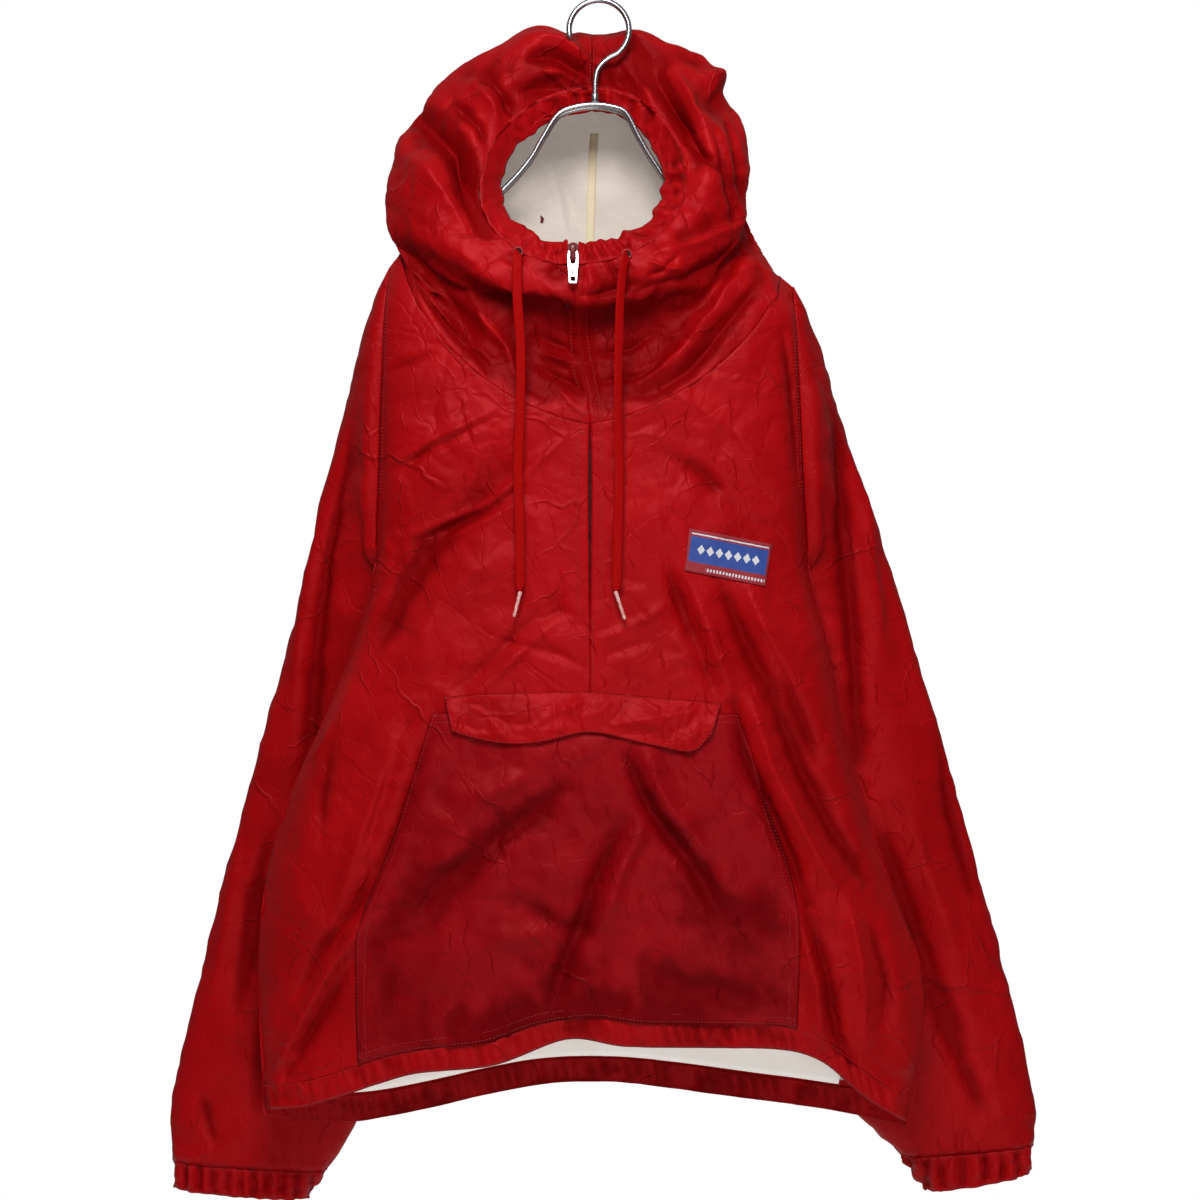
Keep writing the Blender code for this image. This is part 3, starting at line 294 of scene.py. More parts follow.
braid = braid_material()
tip_plastic, tip_tree, tip_surface, tip_place = shader("clear_tip", (0.75, 0.34, 0.30), 0.22)
tip_surface.inputs["Coat Weight"].default_value = 0.5
tip_cloud = texture(tip_tree, "ShaderNodeTexNoise", tip_place.outputs["Object"], 420, 2)
TIP_SHADES = ((0.35, (0.62, 0.20, 0.17)), (0.65, (0.85, 0.55, 0.50)))
tip_colour = ramp(tip_tree, tip_cloud.outputs["Fac"], TIP_SHADES)
tip_tree.links.new(tip_colour, tip_surface.inputs["Base Color"])
CORD_STEPS = 240         # pieces that each route's curve is read in
CORD_SIDES = 14
# The clear tip: part of its length, width and depth
TIP_SECTIONS = (
    (-0.08, 3.0, 2.6), (0.0, 3.5, 3.0), (0.03, 3.5, 3.0), (0.10, 3.0, 2.7),
    (0.5, 2.7, 2.5), (0.93, 2.6, 2.4), (0.985, 2.4, 2.2), (1.0, 1.6, 1.5),
)
for hand, route in CORD_ROUTES.items():
    places = np.linspace(0, len(route) - 1, CORD_STEPS + 1)
    path = smooth_rows(route, places)
    turns = smooth_rows(CORD_TURNS[hand], places)[:, 0]
    # The braid is pinched where it enters its tip and where it leaves the eyelet
    from_end = (len(route) - 1 - places) * 50
    narrow = np.clip(from_end / 6, 0.42, 1) * np.clip((places + 0.55) / 1.2, 0.5, 1)
    widths = CORD_WIDTH * narrow
    depths = CORD_THICKNESS * (1 + 0.5 * (1 - narrow))
    cord = sweep(f"cord_{hand}", path, widths, depths, turns, CORD_SIDES, braid)
    start, end = Vector(path[-1]), Vector(TIP_ENDS[hand])
    parts, tip_widths, tip_depths = zip(*TIP_SECTIONS)
    tip = sweep(
        f"cord_tip_{hand}", [start.lerp(end, part) for part in parts], tip_widths, tip_depths,
        [0] * len(parts), CORD_SIDES, tip_plastic,
    )
    belongs(cord, f"drawcord_{hand}")
    belongs(tip, f"aglet_{hand}")


# ---------------------------------------------------------------- Shell cloth
# Crinkled nylon taffeta in red, lined with thin off-white cotton. The panels of the front and the
# back are cut flat, joined with felled seams, and hang in folds from the hanger and the hem.
SHELL_THICKNESS = 0.7
# The nylon's crushed creases: turn in the panel's plane, cells per metre, width, and depth in metres
NYLON_CREASES = (
    (0.85, 11, 0.026, 0.0009), (-0.6, 21, 0.036, 0.0006), (1.35, 46, 0.060, 0.0006),
)


def spread(tree, value, low, high):
    """A value from 0 to 1 carried evenly to another range."""
    node = tree.nodes.new("ShaderNodeMapRange")
    node.inputs["To Min"].default_value = low
    node.inputs["To Max"].default_value = high
    tree.links.new(value, node.inputs["Value"])
    return node.outputs["Result"]


def nylon_material(name="red_nylon", deep=(0.315, 0.0012, 0.0026), lit=(0.405, 0.0022, 0.0042)):
    """Semi-gloss nylon: fine crinkles at several sizes, a plain weave, uneven dye, and painted shade
    in its folds and along its creases, where its gloss is also lowered.
    """
    material, tree, surface, place = shader(name, lit, 0.40)
    where = place.outputs["Object"]
    patches = texture(tree, "ShaderNodeTexNoise", where, 14, 4, Roughness=0.6)
    colour = ramp(tree, patches.outputs["Fac"], ((0.3, deep), (0.7, lit)))
    # Painted shade, read from each point's attribute: how much of the darker shade colour it takes
    painted_shade = tree.nodes.new("ShaderNodeAttribute")
    painted_shade.attribute_name = "painted_shade"
    # The base colour mixed towards a dark shade colour: painted shade
    painted_shade_mix = tree.nodes.new("ShaderNodeMix")
    painted_shade_mix.data_type = "RGBA"
    painted_shade_mix.inputs["B"].default_value = (deep[0] * 0.42, deep[1] * 0.4, deep[2] * 0.4, 1)
    tree.links.new(colour, painted_shade_mix.inputs["A"])
    tree.links.new(painted_shade_mix.outputs["Result"], surface.inputs["Base Color"])
    worn = texture(tree, "ShaderNodeTexNoise", where, 60, 3)
    rough = spread(tree, worn.outputs["Fac"], 0.40, 0.56)
    tree.links.new(rough, surface.inputs["Roughness"])
    warp = texture(tree, "ShaderNodeTexNoise", where, 30, 2)
    bend = tree.nodes.new("ShaderNodeVectorMath")
    bend.operation = "MULTIPLY_ADD"
    bend.inputs[1].default_value = (0.032, 0.032, 0.032)
    tree.links.new(warp.outputs["Color"], bend.inputs[0])
    tree.links.new(where, bend.inputs[2])
    bent = bend.outputs["Vector"]
    pucker = texture(
        tree, "ShaderNodeTexNoise", stretched(tree, bent, (0.42, 1, 1.1)), 125, 2, Roughness=0.5
    )
    weave = texture(tree, "ShaderNodeTexNoise", stretched(tree, where, (1, 1, 0.35)), 2300, 1)
    normal = bump(tree, pucker.outputs["Fac"], 0.0013, 0.34)
    # Sharp creases that run aslant, as left where the cloth was folded and crushed
    lines = None
    upright = stretched(tree, bent, (1, 1, 1), (math.pi / 2, 0, 0))
    for turn, scale, width, height in NYLON_CREASES:
        slanted = tree.nodes.new("ShaderNodeMapping")
        slanted.vector_type = "TEXTURE"
        slanted.inputs["Rotation"].default_value = (0, 0, turn)
        slanted.inputs["Scale"].default_value = (2.9, 1, 1)
        tree.links.new(upright, slanted.inputs["Vector"])
        cells = texture(tree, "ShaderNodeTexVoronoi", slanted.outputs["Vector"], scale, 0)
        cells.voronoi_dimensions = "2D"
        cells.feature = "DISTANCE_TO_EDGE"
        near = span(tree, cells.outputs["Distance"], (0, width), (1, 0))
        here = texture(tree, "ShaderNodeTexNoise", where, scale * 0.8, 1)
        share = span(tree, here.outputs["Fac"], (0.44, 0.72), (-0.35, 1))
        shaped = combine(tree, "MULTIPLY", near, share)
        normal = bump(tree, shaped, height, 1.0, normal)
        lines = shaped if lines is None else combine(tree, "MAXIMUM", lines, shaped)
    # Painted shade along the crease lines, on top of the painted shade from the attribute
    dark = combine(tree, "MULTIPLY_ADD", lines, 0.18)
    tree.links.new(painted_shade.outputs["Fac"], dark.node.inputs[2])
    tree.links.new(dark, painted_shade_mix.inputs["Factor"])
    normal = bump(tree, weave.outputs["Fac"], 0.0001, 0.4, normal)
    tree.links.new(normal, surface.inputs["Normal"])
    # Less gloss where the shade is painted
    gloss = spread(tree, painted_shade.outputs["Fac"], 0.40, 0.06)
    tree.links.new(gloss, surface.inputs["Specular IOR Level"])
    surface.inputs["Specular Tint"].default_value = (1.0, 0.16, 0.18, 1)
    return material


def cotton_material(name="cream_lining", dull=(0.66, 0.59, 0.50), clean=(0.80, 0.74, 0.66)):
    """Off-white lining: matt plain weave with slubs across it, a little soiled."""
    material, tree, surface, place = shader(name, clean, 0.85)
    where = place.outputs["Object"]
    stains = texture(tree, "ShaderNodeTexNoise", where, 22, 4)
    slubs = texture(tree, "ShaderNodeTexNoise", stretched(tree, where, (0.25, 1, 1)), 520, 2)
    both = combine(tree, "MULTIPLY_ADD", slubs.outputs["Fac"], 0.25)
    tree.links.new(combine(tree, "MULTIPLY", stains.outputs["Fac"], 0.75), both.node.inputs[2])
    colour = ramp(tree, both, ((0.3, dull), (0.7, clean)))
    tree.links.new(colour, surface.inputs["Base Color"])
    threads = texture(tree, "ShaderNodeTexNoise", stretched(tree, where, (0.3, 1, 1)), 1500, 2)
    normal = bump(tree, slubs.outputs["Fac"], 0.0003, 0.4)
    normal = bump(tree, threads.outputs["Fac"], 0.0002, 0.5, normal)
    tree.links.new(normal, surface.inputs["Normal"])
    return material


def islands_of(built):
    """The sets of faces that are joined to each other, the largest areas first."""
    seen, found = set(), []
    for first in built.faces:
        if first in seen:
            continue
        seen.add(first)
        stack, island = [first], []
        while stack:
            face = stack.pop()
            island.append(face)
            for edge in face.edges:
                for other in edge.link_faces:
                    if other not in seen:
                        seen.add(other)
                        stack.append(other)
        found.append(island)
    return sorted(found, key=lambda island: -widest(island))


def back_most(island):
    return np.mean([face.calc_center_median().y for face in island])


def front_most(island):
    return -back_most(island)


def widest(island):
    return sum(face.calc_area() for face in island)


SHARP_CORNER = math.radians(32)      # a raw edge that turns by more keeps its corner


def one_side(node, name, wall, side, levels):
    """One side of a solid cloth wall as its own sheet, in smooth quads.

    The wall's short edges, which run through the cloth, mark the faces round its rim. Without
    those, the two sides fall apart, and the one that is wanted is kept.
    """
    built = bmesh.new()
    built.from_mesh(frame["nodes"][node].data)
    bmesh.ops.remove_doubles(built, verts=built.verts, dist=0.02 * MM)
    normals = {}
    for vertex in built.verts:
        total = Vector()
        for face in vertex.link_faces:
            total += face.normal * face.calc_area()
        normals[vertex] = total.normalized()
    round_rim = set()
    for edge in built.edges:
        first, second = edge.verts
        along = first.co - second.co
        length = along.length
        steep = min(abs(along.dot(normals[first])), abs(along.dot(normals[second])))
        if abs(length - wall) < 0.004 * MM or (length < 2 * wall and steep > 0.35 * length):
            round_rim.update(edge.link_faces)
    # Read back in the mesh's own order, because a set's order changes from run to run
    rim = [face for face in built.faces if face in round_rim]
    bmesh.ops.delete(built, geom=rim, context="FACES")
    islands = islands_of(built)
    wanted = max(islands[:2], key=side)
    gone = [face for island in islands if island is not wanted for face in island]
    bmesh.ops.delete(built, geom=gone, context="FACES")
    bmesh.ops.join_triangles(
        built, faces=built.faces, angle_face_threshold=math.pi, angle_shape_threshold=math.pi,
        topology_influence=1.8,
    )
    corner = built.verts.layers.float.new("crease_vert")
    for vertex in built.verts:
        rim_edges = [edge for edge in vertex.link_edges if edge.is_boundary]
        raw = [edge.other_vert(vertex).co - vertex.co for edge in rim_edges]
        if len(raw) == 2 and raw[0].angle(-raw[1]) > SHARP_CORNER:
            vertex[corner] = 1.0
    mesh = bpy.data.meshes.new(name)
    built.to_mesh(mesh)
    built.free()
    piece = bpy.data.objects.new(name, mesh)
    bpy.context.scene.collection.objects.link(piece)
    smooth = piece.modifiers.new("smooth", "SUBSURF")
    smooth.levels = smooth.render_levels = levels
    smooth.boundary_smooth = "PRESERVE_CORNERS"
    apply_modifiers(piece)
    return piece


def apply_modifiers(piece):
    """Applies every modifier of a piece, in order."""
    bpy.context.view_layer.objects.active = piece
    for modifier in list(piece.modifiers):
        bpy.ops.object.modifier_apply(modifier=modifier.name)


def points_of(piece):
    """The vertices of a piece and their normals, in millimetres."""
    count = len(piece.data.vertices)
    points = np.empty(count * 3, np.float32)
    normals = np.empty(count * 3, np.float32)
    piece.data.vertices.foreach_get("co", points)
    piece.data.vertex_normals.foreach_get("vector", normals)
    return points.reshape(-1, 3).astype(float) / MM, normals.reshape(-1, 3).astype(float)


def set_points(piece, points):
    """Moves the vertices of a piece to points in millimetres."""
    piece.data.vertices.foreach_set("co", (points * MM).astype(np.float32).ravel())
    piece.data.update()


DARKEST_PAINTED_SHADE = 0.66       # the deepest folds' share of the painted shade colour


def paint_shade(piece, relief, depth=8.0):
    """Keeps how deep each point lies in a fold as painted shade, which darkens the nylon's colour and
    dulls its gloss there.
    """
    share = np.clip((-relief / depth - 0.10) / 0.42, 0, 1)
    share = DARKEST_PAINTED_SHADE * share * share * (3 - 2 * share)
    painted_shade = piece.data.attributes.new("painted_shade", "FLOAT", "POINT")
    painted_shade.data.foreach_set("value", share.astype(np.float32))


def edge_distance(piece, points):
    """How far each vertex lies from the nearest raw edge of the sheet."""
    built = bmesh.new()
    built.from_mesh(piece.data)
    rim = [vertex.index for vertex in built.verts if vertex.is_boundary]
    built.free()
    tree = KDTree(len(rim))
    for index in rim:
        tree.insert(points[index], index)
    tree.balance()
    return np.array([tree.find(point)[2] for point in points])


def opened(piece):
    """A sheet's points, their normals and how far each lies from a raw edge."""
    points, normals = points_of(piece)
    return points, normals, edge_distance(piece, points)


def level_with(points, y):
    """Points laid flat at one depth, so that a pattern read there is that of one bolt of cloth."""
    return np.stack([points[:, 0], np.full(len(points), float(y)), points[:, 2]], axis=-1)


def fold_height(folds, x, z):
    """Soft ridges and troughs along polylines, which fade towards their ends."""
    total = np.zeros_like(x)
    for height, half_width, line in folds:
        nearest = np.full_like(x, 1e9)
        place = np.zeros_like(x)
        lengths = [math.dist(a, b) for a, b in zip(line, line[1:])]
        whole, before = sum(lengths), 0.0
        for (x0, z0), (x1, z1), length in zip(line, line[1:], lengths):
            part = ((x - x0) * (x1 - x0) + (z - z0) * (z1 - z0)) / length**2
            part = np.clip(part, 0, 1)
            gap = np.hypot(x - x0 - part * (x1 - x0), z - z0 - part * (z1 - z0))
            closer = gap < nearest
            nearest = np.where(closer, gap, nearest)
            place = np.where(closer, (before + part * length) / whole, place)
            before += length
        fade = np.sin(math.pi * np.clip(0.08 + 0.84 * place, 0, 1)) ** 0.7
        reach = nearest / half_width
        total += height * fade * np.exp(-(reach**1.5))
    return total


def crumple(points, size, seed):
    """A -1 to 1 field of soft facets between sharp ridges and sharp valleys, size mm across."""
    shift = Vector((seed * 3.1, seed * 1.7, seed * 2.3))
    result = np.empty(len(points))
    for index, point in enumerate(points):
        spot = Vector(point) / size + shift
        spot += 0.7 * noise.noise_vector(spot * 0.55)
        ridge = abs(noise.noise(spot))
        valley = abs(noise.noise(spot * 1.3 + shift))
        result[index] = valley - ridge
    return result * 2.4


def creases(points, seed, sizes=((85, 1.2), (34, 0.9), (14, 0.2))):
    """The sum of crumples of several sizes, in millimetres."""
    return sum(height * crumple(points, size, seed + size) for size, height in sizes)


FACING = 16.0            # width of the shell cloth turned in along the raw edges, in millimetres


def thicken(piece, thickness, outside, inside=None, keep=1.0, facing=FACING, rear=FACING):
    """Gives a sheet its thickness inwards, with its lining's finish on the inner side.

    facing and rear are how far the shell's own cloth is turned in, at the front and at the back.
    """
    if keep < 1:
        fewer = piece.modifiers.new("fewer", "DECIMATE")
        fewer.ratio = keep
        apply_modifiers(piece)
    distance = edge_distance(piece, points_of(piece)[0])
    piece.data.materials.clear()
    piece.data.materials.append(outside)
    wall = piece.modifiers.new("wall", "SOLIDIFY")
    wall.thickness = thickness * MM
    wall.offset = -1.0
    wall.use_quality_normals = False
    if inside is not None:
        piece.data.materials.append(inside)
        wall.material_offset = 1
    apply_modifiers(piece)
    if inside is not None:
        count = len(distance)
        for polygon in piece.data.polygons:
            turned_in = rear if polygon.center.y > 0 else facing
            if min(distance[index % count] for index in polygon.vertices) < turned_in:
                polygon.material_index = 0
    piece.data.shade_smooth()


def tree_of(*pieces):
    """A search tree over the faces of pieces, in millimetres."""
    points, faces = [], []
    for piece in pieces:
        start = len(points)
        points += [vertex.co / MM for vertex in piece.data.vertices]
        faces += [tuple(start + index for index in face.vertices) for face in piece.data.polygons]
    return BVHTree.FromPolygons(points, faces)


nylon = nylon_material()
# A darker copy of the nylon for the belly pocket
pocket_nylon = nylon_material("red_nylon_pocket", (0.235, 0.0010, 0.0032), (0.305, 0.0018, 0.0052))
cotton = cotton_material()
# Two copies of the cotton with painted light: each glows, though it is no lamp, to lighten the lining
# where the front and the hood shade it; the back's copy is also painted paler, and the hood's is
# darker under its glow.
painted_light_cotton = cotton_material("lining_painted_light", (0.80, 0.76, 0.69), (0.90, 0.87, 0.82))
hood_painted_light_cotton = cotton_material("hood_lining_painted_light", (0.44, 0.37, 0.31), (0.60, 0.52, 0.45))
for lit_cloth, glow in ((painted_light_cotton, 0.28), (hood_painted_light_cotton, 0.15)):
    lit_surface = lit_cloth.node_tree.nodes["Principled BSDF"]
    lit_surface.inputs["Emission Color"].default_value = (1.0, 0.95, 0.89, 1)
    lit_surface.inputs["Emission Strength"].default_value = glow

# ---------------------------------------------------------------- Front and back panels
# Two front panels, joined below the half zip by the centre seam, and one back panel. Folds run
# from the armpits, from the ends of the zip and down to the hem, and the nylon is crinkled all over.

# Each fold: height and half width, then its line as x and z, all in millimetres
FRONT_FOLDS = (
    (-2, 3.3, ((-178, -316), (-158, -309), (-138, -302))),
    (2.5, 5.8, ((-175, -393), (-124, -368), (-90, -352))),
    (-2, 3.3, ((-174, -400), (-123, -375), (-87, -355))),
    (-1.8, 3.3, ((-164, -403), (-146, -384), (-122, -368))),
    (3, 4.1, ((-155, -452), (-93, -427), (-64, -406), (-28, -373))),
    (-2.2, 3.3, ((-153, -459), (-93, -434), (-62, -412))),
    (2, 3.3, ((-140, -462), (-90, -440), (-70, -429))),
    (-6, 14.1, ((-182, -549), (-165, -508), (-140, -466), (-107, -433), (-82, -400))),
    (4, 13.3, ((-165, -574), (-132, -508), (-90, -474))),
    (-2.5, 5, ((-119, -582), (-82, -549), (-49, -516), (-31, -505))),
    (2.5, 5, ((-107, -590), (-65, -551), (-36, -526))),
    (-3.5, 6.6, ((61, -487), (75, -524), (96, -587))),
    (3, 6.6, ((72, -487), (88, -524), (109, -582))),
    (-6, 9.9, ((102, -499), (121, -541), (143, -582))),
    (5, 9.9, ((124, -499), (146, -549), (167, -590))),
    (-4, 6.6, ((139, -537), (161, -587), (182, -640))),
    (-7, 5.8, ((114, -595), (121, -636), (138, -673), (161, -725), (173, -760))),
    (5, 7.5, ((127, -590), (143, -644), (170, -698), (196, -744))),
    (-6, 8.3, ((143, -590), (164, -642), (190, -694), (223, -744))),
    (-6, 6.6, ((173, -766), (190, -827), (198, -868), (210, -890))),
    (6, 7.5, ((163, -760), (182, -827), (185, -872))),
    (-4, 8.3, ((223, -769), (240, -827), (237, -864))),
    (5, 8.3, ((208, -756), (218, -806), (223, -872))),
    (-4, 5.8, ((-135, -603), (-148, -640), (-161, -682), (-182, -731), (-201, -769))),
    (5, 6.6, ((-177, -740), (-198, -777), (-227, -818), (-248, -856), (-271, -899))),
    (-4, 5.8, ((-188, -731), (-206, -769), (-233, -802), (-251, -839))),
    (-4, 5.8, ((-206, -806), (-223, -839), (-248, -881), (-264, -910))),
    (3.5, 7.5, ((-165, -624), (-186, -673), (-202, -715), (-215, -756))),
    (-3, 5.8, ((-148, -595), (-165, -619), (-177, -665), (-191, -706))),
    (-3, 6.6, ((-223, -628), (-230, -673), (-231, -715))),
    (3, 3.3, ((-248, -644), (-233, -628), (-225, -611))),
    (-4, 5, ((155, -284), (160, -325), (164, -367), (167, -408))),
    (-2, 4.1, ((54, -474), (64, -508), (75, -541))),
    (-2, 4.1, ((-53, -526), (-32, -516), (-16, -522))),
    (2, 4.1, ((1, -541), (34, -526), (57, -511))),
    (-2, 4.1, ((6, -553), (42, -541))),
    (-2, 3.3, ((-82, -541), (-32, -553), (-12, -564))),
    (2, 7.5, ((75, -342), (113, -367), (150, -408))),
    (-2.5, 8.3, ((34, -375), (84, -400), (133, -449))),
)
BACK_FOLDS = (
    (-4, 14, ((-150, -330), (-90, -420), (-70, -520))),
    (3, 12, ((-120, -320), (-60, -430), (-50, -560))),
    (-4, 14, ((130, -340), (70, -430), (50, -540))),
    (3, 12, ((100, -330), (45, -440), (30, -580))),
    (-5, 16, ((-200, -560), (-150, -680), (-140, -860))),
    (4, 15, ((-160, -540), (-110, -700), (-100, -880))),
    (-5, 16, ((180, -560), (140, -700), (135, -880))),
    (5, 15, ((140, -560), (95, -720), (90, -880))),
    (-4, 18, ((-20, -520), (-30, -700), (-25, -880))),
    (3.5, 16, ((25, -480), (22, -680), (35, -880))),
    (-3, 10, ((-170, -420), (-90, -445), (0, -440), (90, -450), (160, -440))),
)
ZIP_X = -7.4             # the slit of the half zip and the centre seam below it
ZIP_END_Z = -525         # the slit's lower end
CORD_ROOM = 14.0         # half width of the strips behind the cords where the cloth stays low


def strip_behind_cords(x, z):
    """1 behind the hanging cords, where nothing stands proud, and 0 away from them."""
    total = np.zeros_like(x)
    for route in CORD_ROUTES.values():
        line = np.array(route)
        middle = np.interp(-z, -line[:, 2], line[:, 0])
        beside = np.clip(1.6 - np.abs(x - middle) / CORD_ROOM, 0, 1)
        total = np.maximum(total, beside * (z > -535))
    return total


def front_relief(points):
    """How far the dressed front stands proud of the flat cut, at each point."""
    x, z = points[:, 0], points[:, 2]
    relief = 1.6 * fold_height(FRONT_FOLDS, x, z) + creases(level_with(points, 0), 3)
    # Quilted by the zip's facing and its stitching, the cloth beside the slit lies closer
    beside_zip = np.exp(-(((x - ZIP_X) / 22) ** 4)) * (z > ZIP_END_Z)
    relief = relief * (1 - 0.55 * beside_zip)
    low = strip_behind_cords(x, z)
    return np.where(relief > 1.5, relief * (1 - low) + np.minimum(relief, 1.5) * low, relief)


POCKET_ROOM = 12.0       # how far the front lies back behind the middle of the pocket
POCKET_OUTLINE = (
    (-136, -594), (112, -594), (143, -690), (167, -754), (164, -862), (-204, -862), (-204, -771),
)


def under_pocket(points):
    """How far the front gives way behind the pocket, whose own folds need the room."""
    x, z = points[:, 0], points[:, 2]
    inside = np.full(len(points), 1e9)
    outline = POCKET_OUTLINE
    for (x0, z0), (x1, z1) in zip(outline, outline[1:] + outline[:1]):
        length = math.hypot(x1 - x0, z1 - z0)
        inside = np.minimum(inside, ((x - x0) * (z1 - z0) - (z - z0) * (x1 - x0)) / length)
    return POCKET_ROOM * np.clip((inside - 6) / 35, 0, 1)


def back_relief(points):
    """How far the dressed back stands proud of the flat cut, at each point."""
    folds = fold_height(BACK_FOLDS, points[:, 0], points[:, 2])
    return folds + creases(level_with(points, 300), 5)


def raw_edges(piece):
    """Each raw edge of a sheet: its points in order, the way into the cloth, and their numbers."""
    built = bmesh.new()
    built.from_mesh(piece.data)
    left = {vertex for vertex in built.verts if vertex.is_boundary}
    found = []
    for first in built.verts:
        if first not in left:
            continue
        loop, ahead = [], [first]
        while ahead:
            left.remove(ahead[0])
            loop.append(ahead[0])
            ahead = [edge.other_vert(loop[-1]) for edge in loop[-1].link_edges if edge.is_boundary]
            ahead = [vertex for vertex in ahead if vertex in left]
        points = np.array([vertex.co for vertex in loop]) / MM
        inner = np.array([
            np.mean([face.calc_center_median() for face in vertex.link_faces], axis=0)
            for vertex in loop
        ]) / MM
        inner -= points
        along = np.roll(points, -1, axis=0) - np.roll(points, 1, axis=0)
        along /= np.linalg.norm(along, axis=1, keepdims=True) + 1e-9
        inner -= along * np.sum(inner * along, axis=1, keepdims=True)
        inner /= np.linalg.norm(inner, axis=1, keepdims=True) + 1e-9
        found.append((points, inner, [vertex.index for vertex in loop]))
    built.free()
    return found


def sink_edges(piece, points, normals, distance, depth=0.4, reach=2.5, grow=0.3):
    """Turns the cloth in along its raw edges, up against the next piece, as in a seam."""
    near = np.clip(1 - distance / reach, 0, 1) ** 2
    points = points - normals * (near * depth)[:, None]
    for _, inner, numbers in raw_edges(piece):
        points[numbers] -= inner * grow
    return points


def dress_flat(piece, relief, direction, edge_depth=0.4, depth=12.0):
    """Lifts a panel straight out of its plane, and less where the panel turns to the side."""
    points, normals, distance = opened(piece)
    facing = np.clip(normals[:, 1] * direction * 1.5, 0, 1)
    lift = relief(points) * facing
    points = sink_edges(piece, points, normals, distance, edge_depth)
    points[:, 1] += direction * lift
    set_points(piece, points)
    paint_shade(piece, lift, depth)


fronts = []
for hand in ("left", "right"):
    panel = one_side(f"front_{hand}", f"panel_front_{hand}", 1.2 * MM, front_most, 4)
    dress_flat(panel, lambda points: front_relief(points) - under_pocket(points), -1)
    fronts.append(panel)
back = one_side("back_panel", "panel_back", 1.2 * MM, back_most, 3)
dress_flat(back, back_relief, 1, depth=18.0)

# ---------------------------------------------------------------- Hems
# The lower edge of the front and of the back is turned up into a casing for a cord or an elastic,
# which draws it into small uneven gathers. The casing is stitched along its top.


def gathers(run, spacing, seed):
    """0 to 1 ridges at uneven distances along a gathered edge."""
    wander = [noise.noise(Vector((value / (3.3 * spacing), seed, 0.5))) for value in run]
    ruffle = [noise.noise(Vector((value / (0.9 * spacing), seed, 7.5))) for value in run]
    phase = run / spacing + 1.1 * np.array(wander)
    return (0.5 + 0.5 * np.cos(2 * math.pi * phase)) * (0.75 + 0.8 * np.array(ruffle))


def round_edge(distance, radius):
    """How far a folded edge lies back from the face of the cloth."""
    inside = np.clip(1 - distance / radius, 0, 1)
    return radius * (1 - np.sqrt(1 - inside**2))


def dress_hem(piece, relief, direction, seed):
    """Carries the folds of the panel above into its hem, and gathers the hem along its length."""
    points, normals, distance = opened(piece)
    facing = np.clip(normals[:, 1] * direction * 1.5, 0, 1)
    lean = points[:, 0] + 0.25 * points[:, 2]
    lift = relief(points) * facing
    lift += 1.7 * (gathers(lean, 10.0, seed) - 0.4) * np.clip(distance / 5, 0, 1)
    lift -= 0.5 * round_edge(distance, 2.0)
    points = sink_edges(piece, points, normals, distance, 0.1, 2.0, 0.9)
    points[:, 1] += direction * lift
    set_points(piece, points)
    # Painted shade: the front hem darker below the pocket, and the whole back hem darker
    painted_hem_shade_mask = (points[:, 0] > -205) & (points[:, 0] < 166) | (direction > 0)
    paint_shade(piece, lift - 1.1 * painted_hem_shade_mask, 6)


front_hem = one_side("front_hem", "hem_front", 2.4 * MM, front_most, 3)
dress_hem(front_hem, front_relief, -1, 21)
back_hem = one_side("back_hem", "hem_back", 2.4 * MM, back_most, 3)
dress_hem(back_hem, back_relief, 1, 34)

# ---------------------------------------------------------------- Sleeves and cuffs
# Full set-in sleeves that hang behind the body's sides, each drawn in at the wrist by an elastic
# in a turned casing. The gathers run up from the cuff and die out.
SLEEVE_FOLDS = (
    (-5, 6.9, ((-213, -369), (-224, -421), (-235, -473), (-244, -551), (-250, -632),
     (-258, -680))),
    (4, 7.8, ((-225, -369), (-239, -438), (-255, -525), (-265, -611))),
    (-4, 8.6, ((-291, -723), (-301, -792), (-313, -862))),
    (3, 7.8, ((-313, -732), (-323, -792), (-336, -853))),
    (-3, 6.9, ((-275, -818), (-291, -887), (-297, -948))),
    (-3, 5.2, ((-345, -939), (-332, -982))),
    (-5, 7.8, ((205, -352), (210, -438), (217, -525), (224, -645))),
    (4, 7.8, ((222, -361), (231, -456), (243, -551))),
    (-4, 7.8, ((243, -706), (264, -767), (290, -836), (316, -887))),
    (3, 7.8, ((269, -697), (290, -758), (312, -818))),
    (-3.5, 6.9, ((286, -853), (312, -905), (333, -948))),
    (-3, 6.9, ((294, -628), (307, -697), (325, -767))),
)
SLEEVE_BACK_FOLDS = (
    (-4, 10, ((-220, -400), (-235, -560), (-250, -700))),
    (3.5, 10, ((-245, -420), (-265, -600), (-290, -760))),
    (-3.5, 9, ((-300, -780), (-305, -880), (-310, -960))),
    (-4, 10, ((215, -400), (230, -560), (240, -700))),
    (3.5, 10, ((250, -440), (270, -620), (290, -780))),
    (-3.5, 9, ((300, -800), (310, -880), (318, -960))),
)
CUFF_GATHER_REACH = 60.0
MIDDLE_X = -7            # the middle of the garment, from side to side


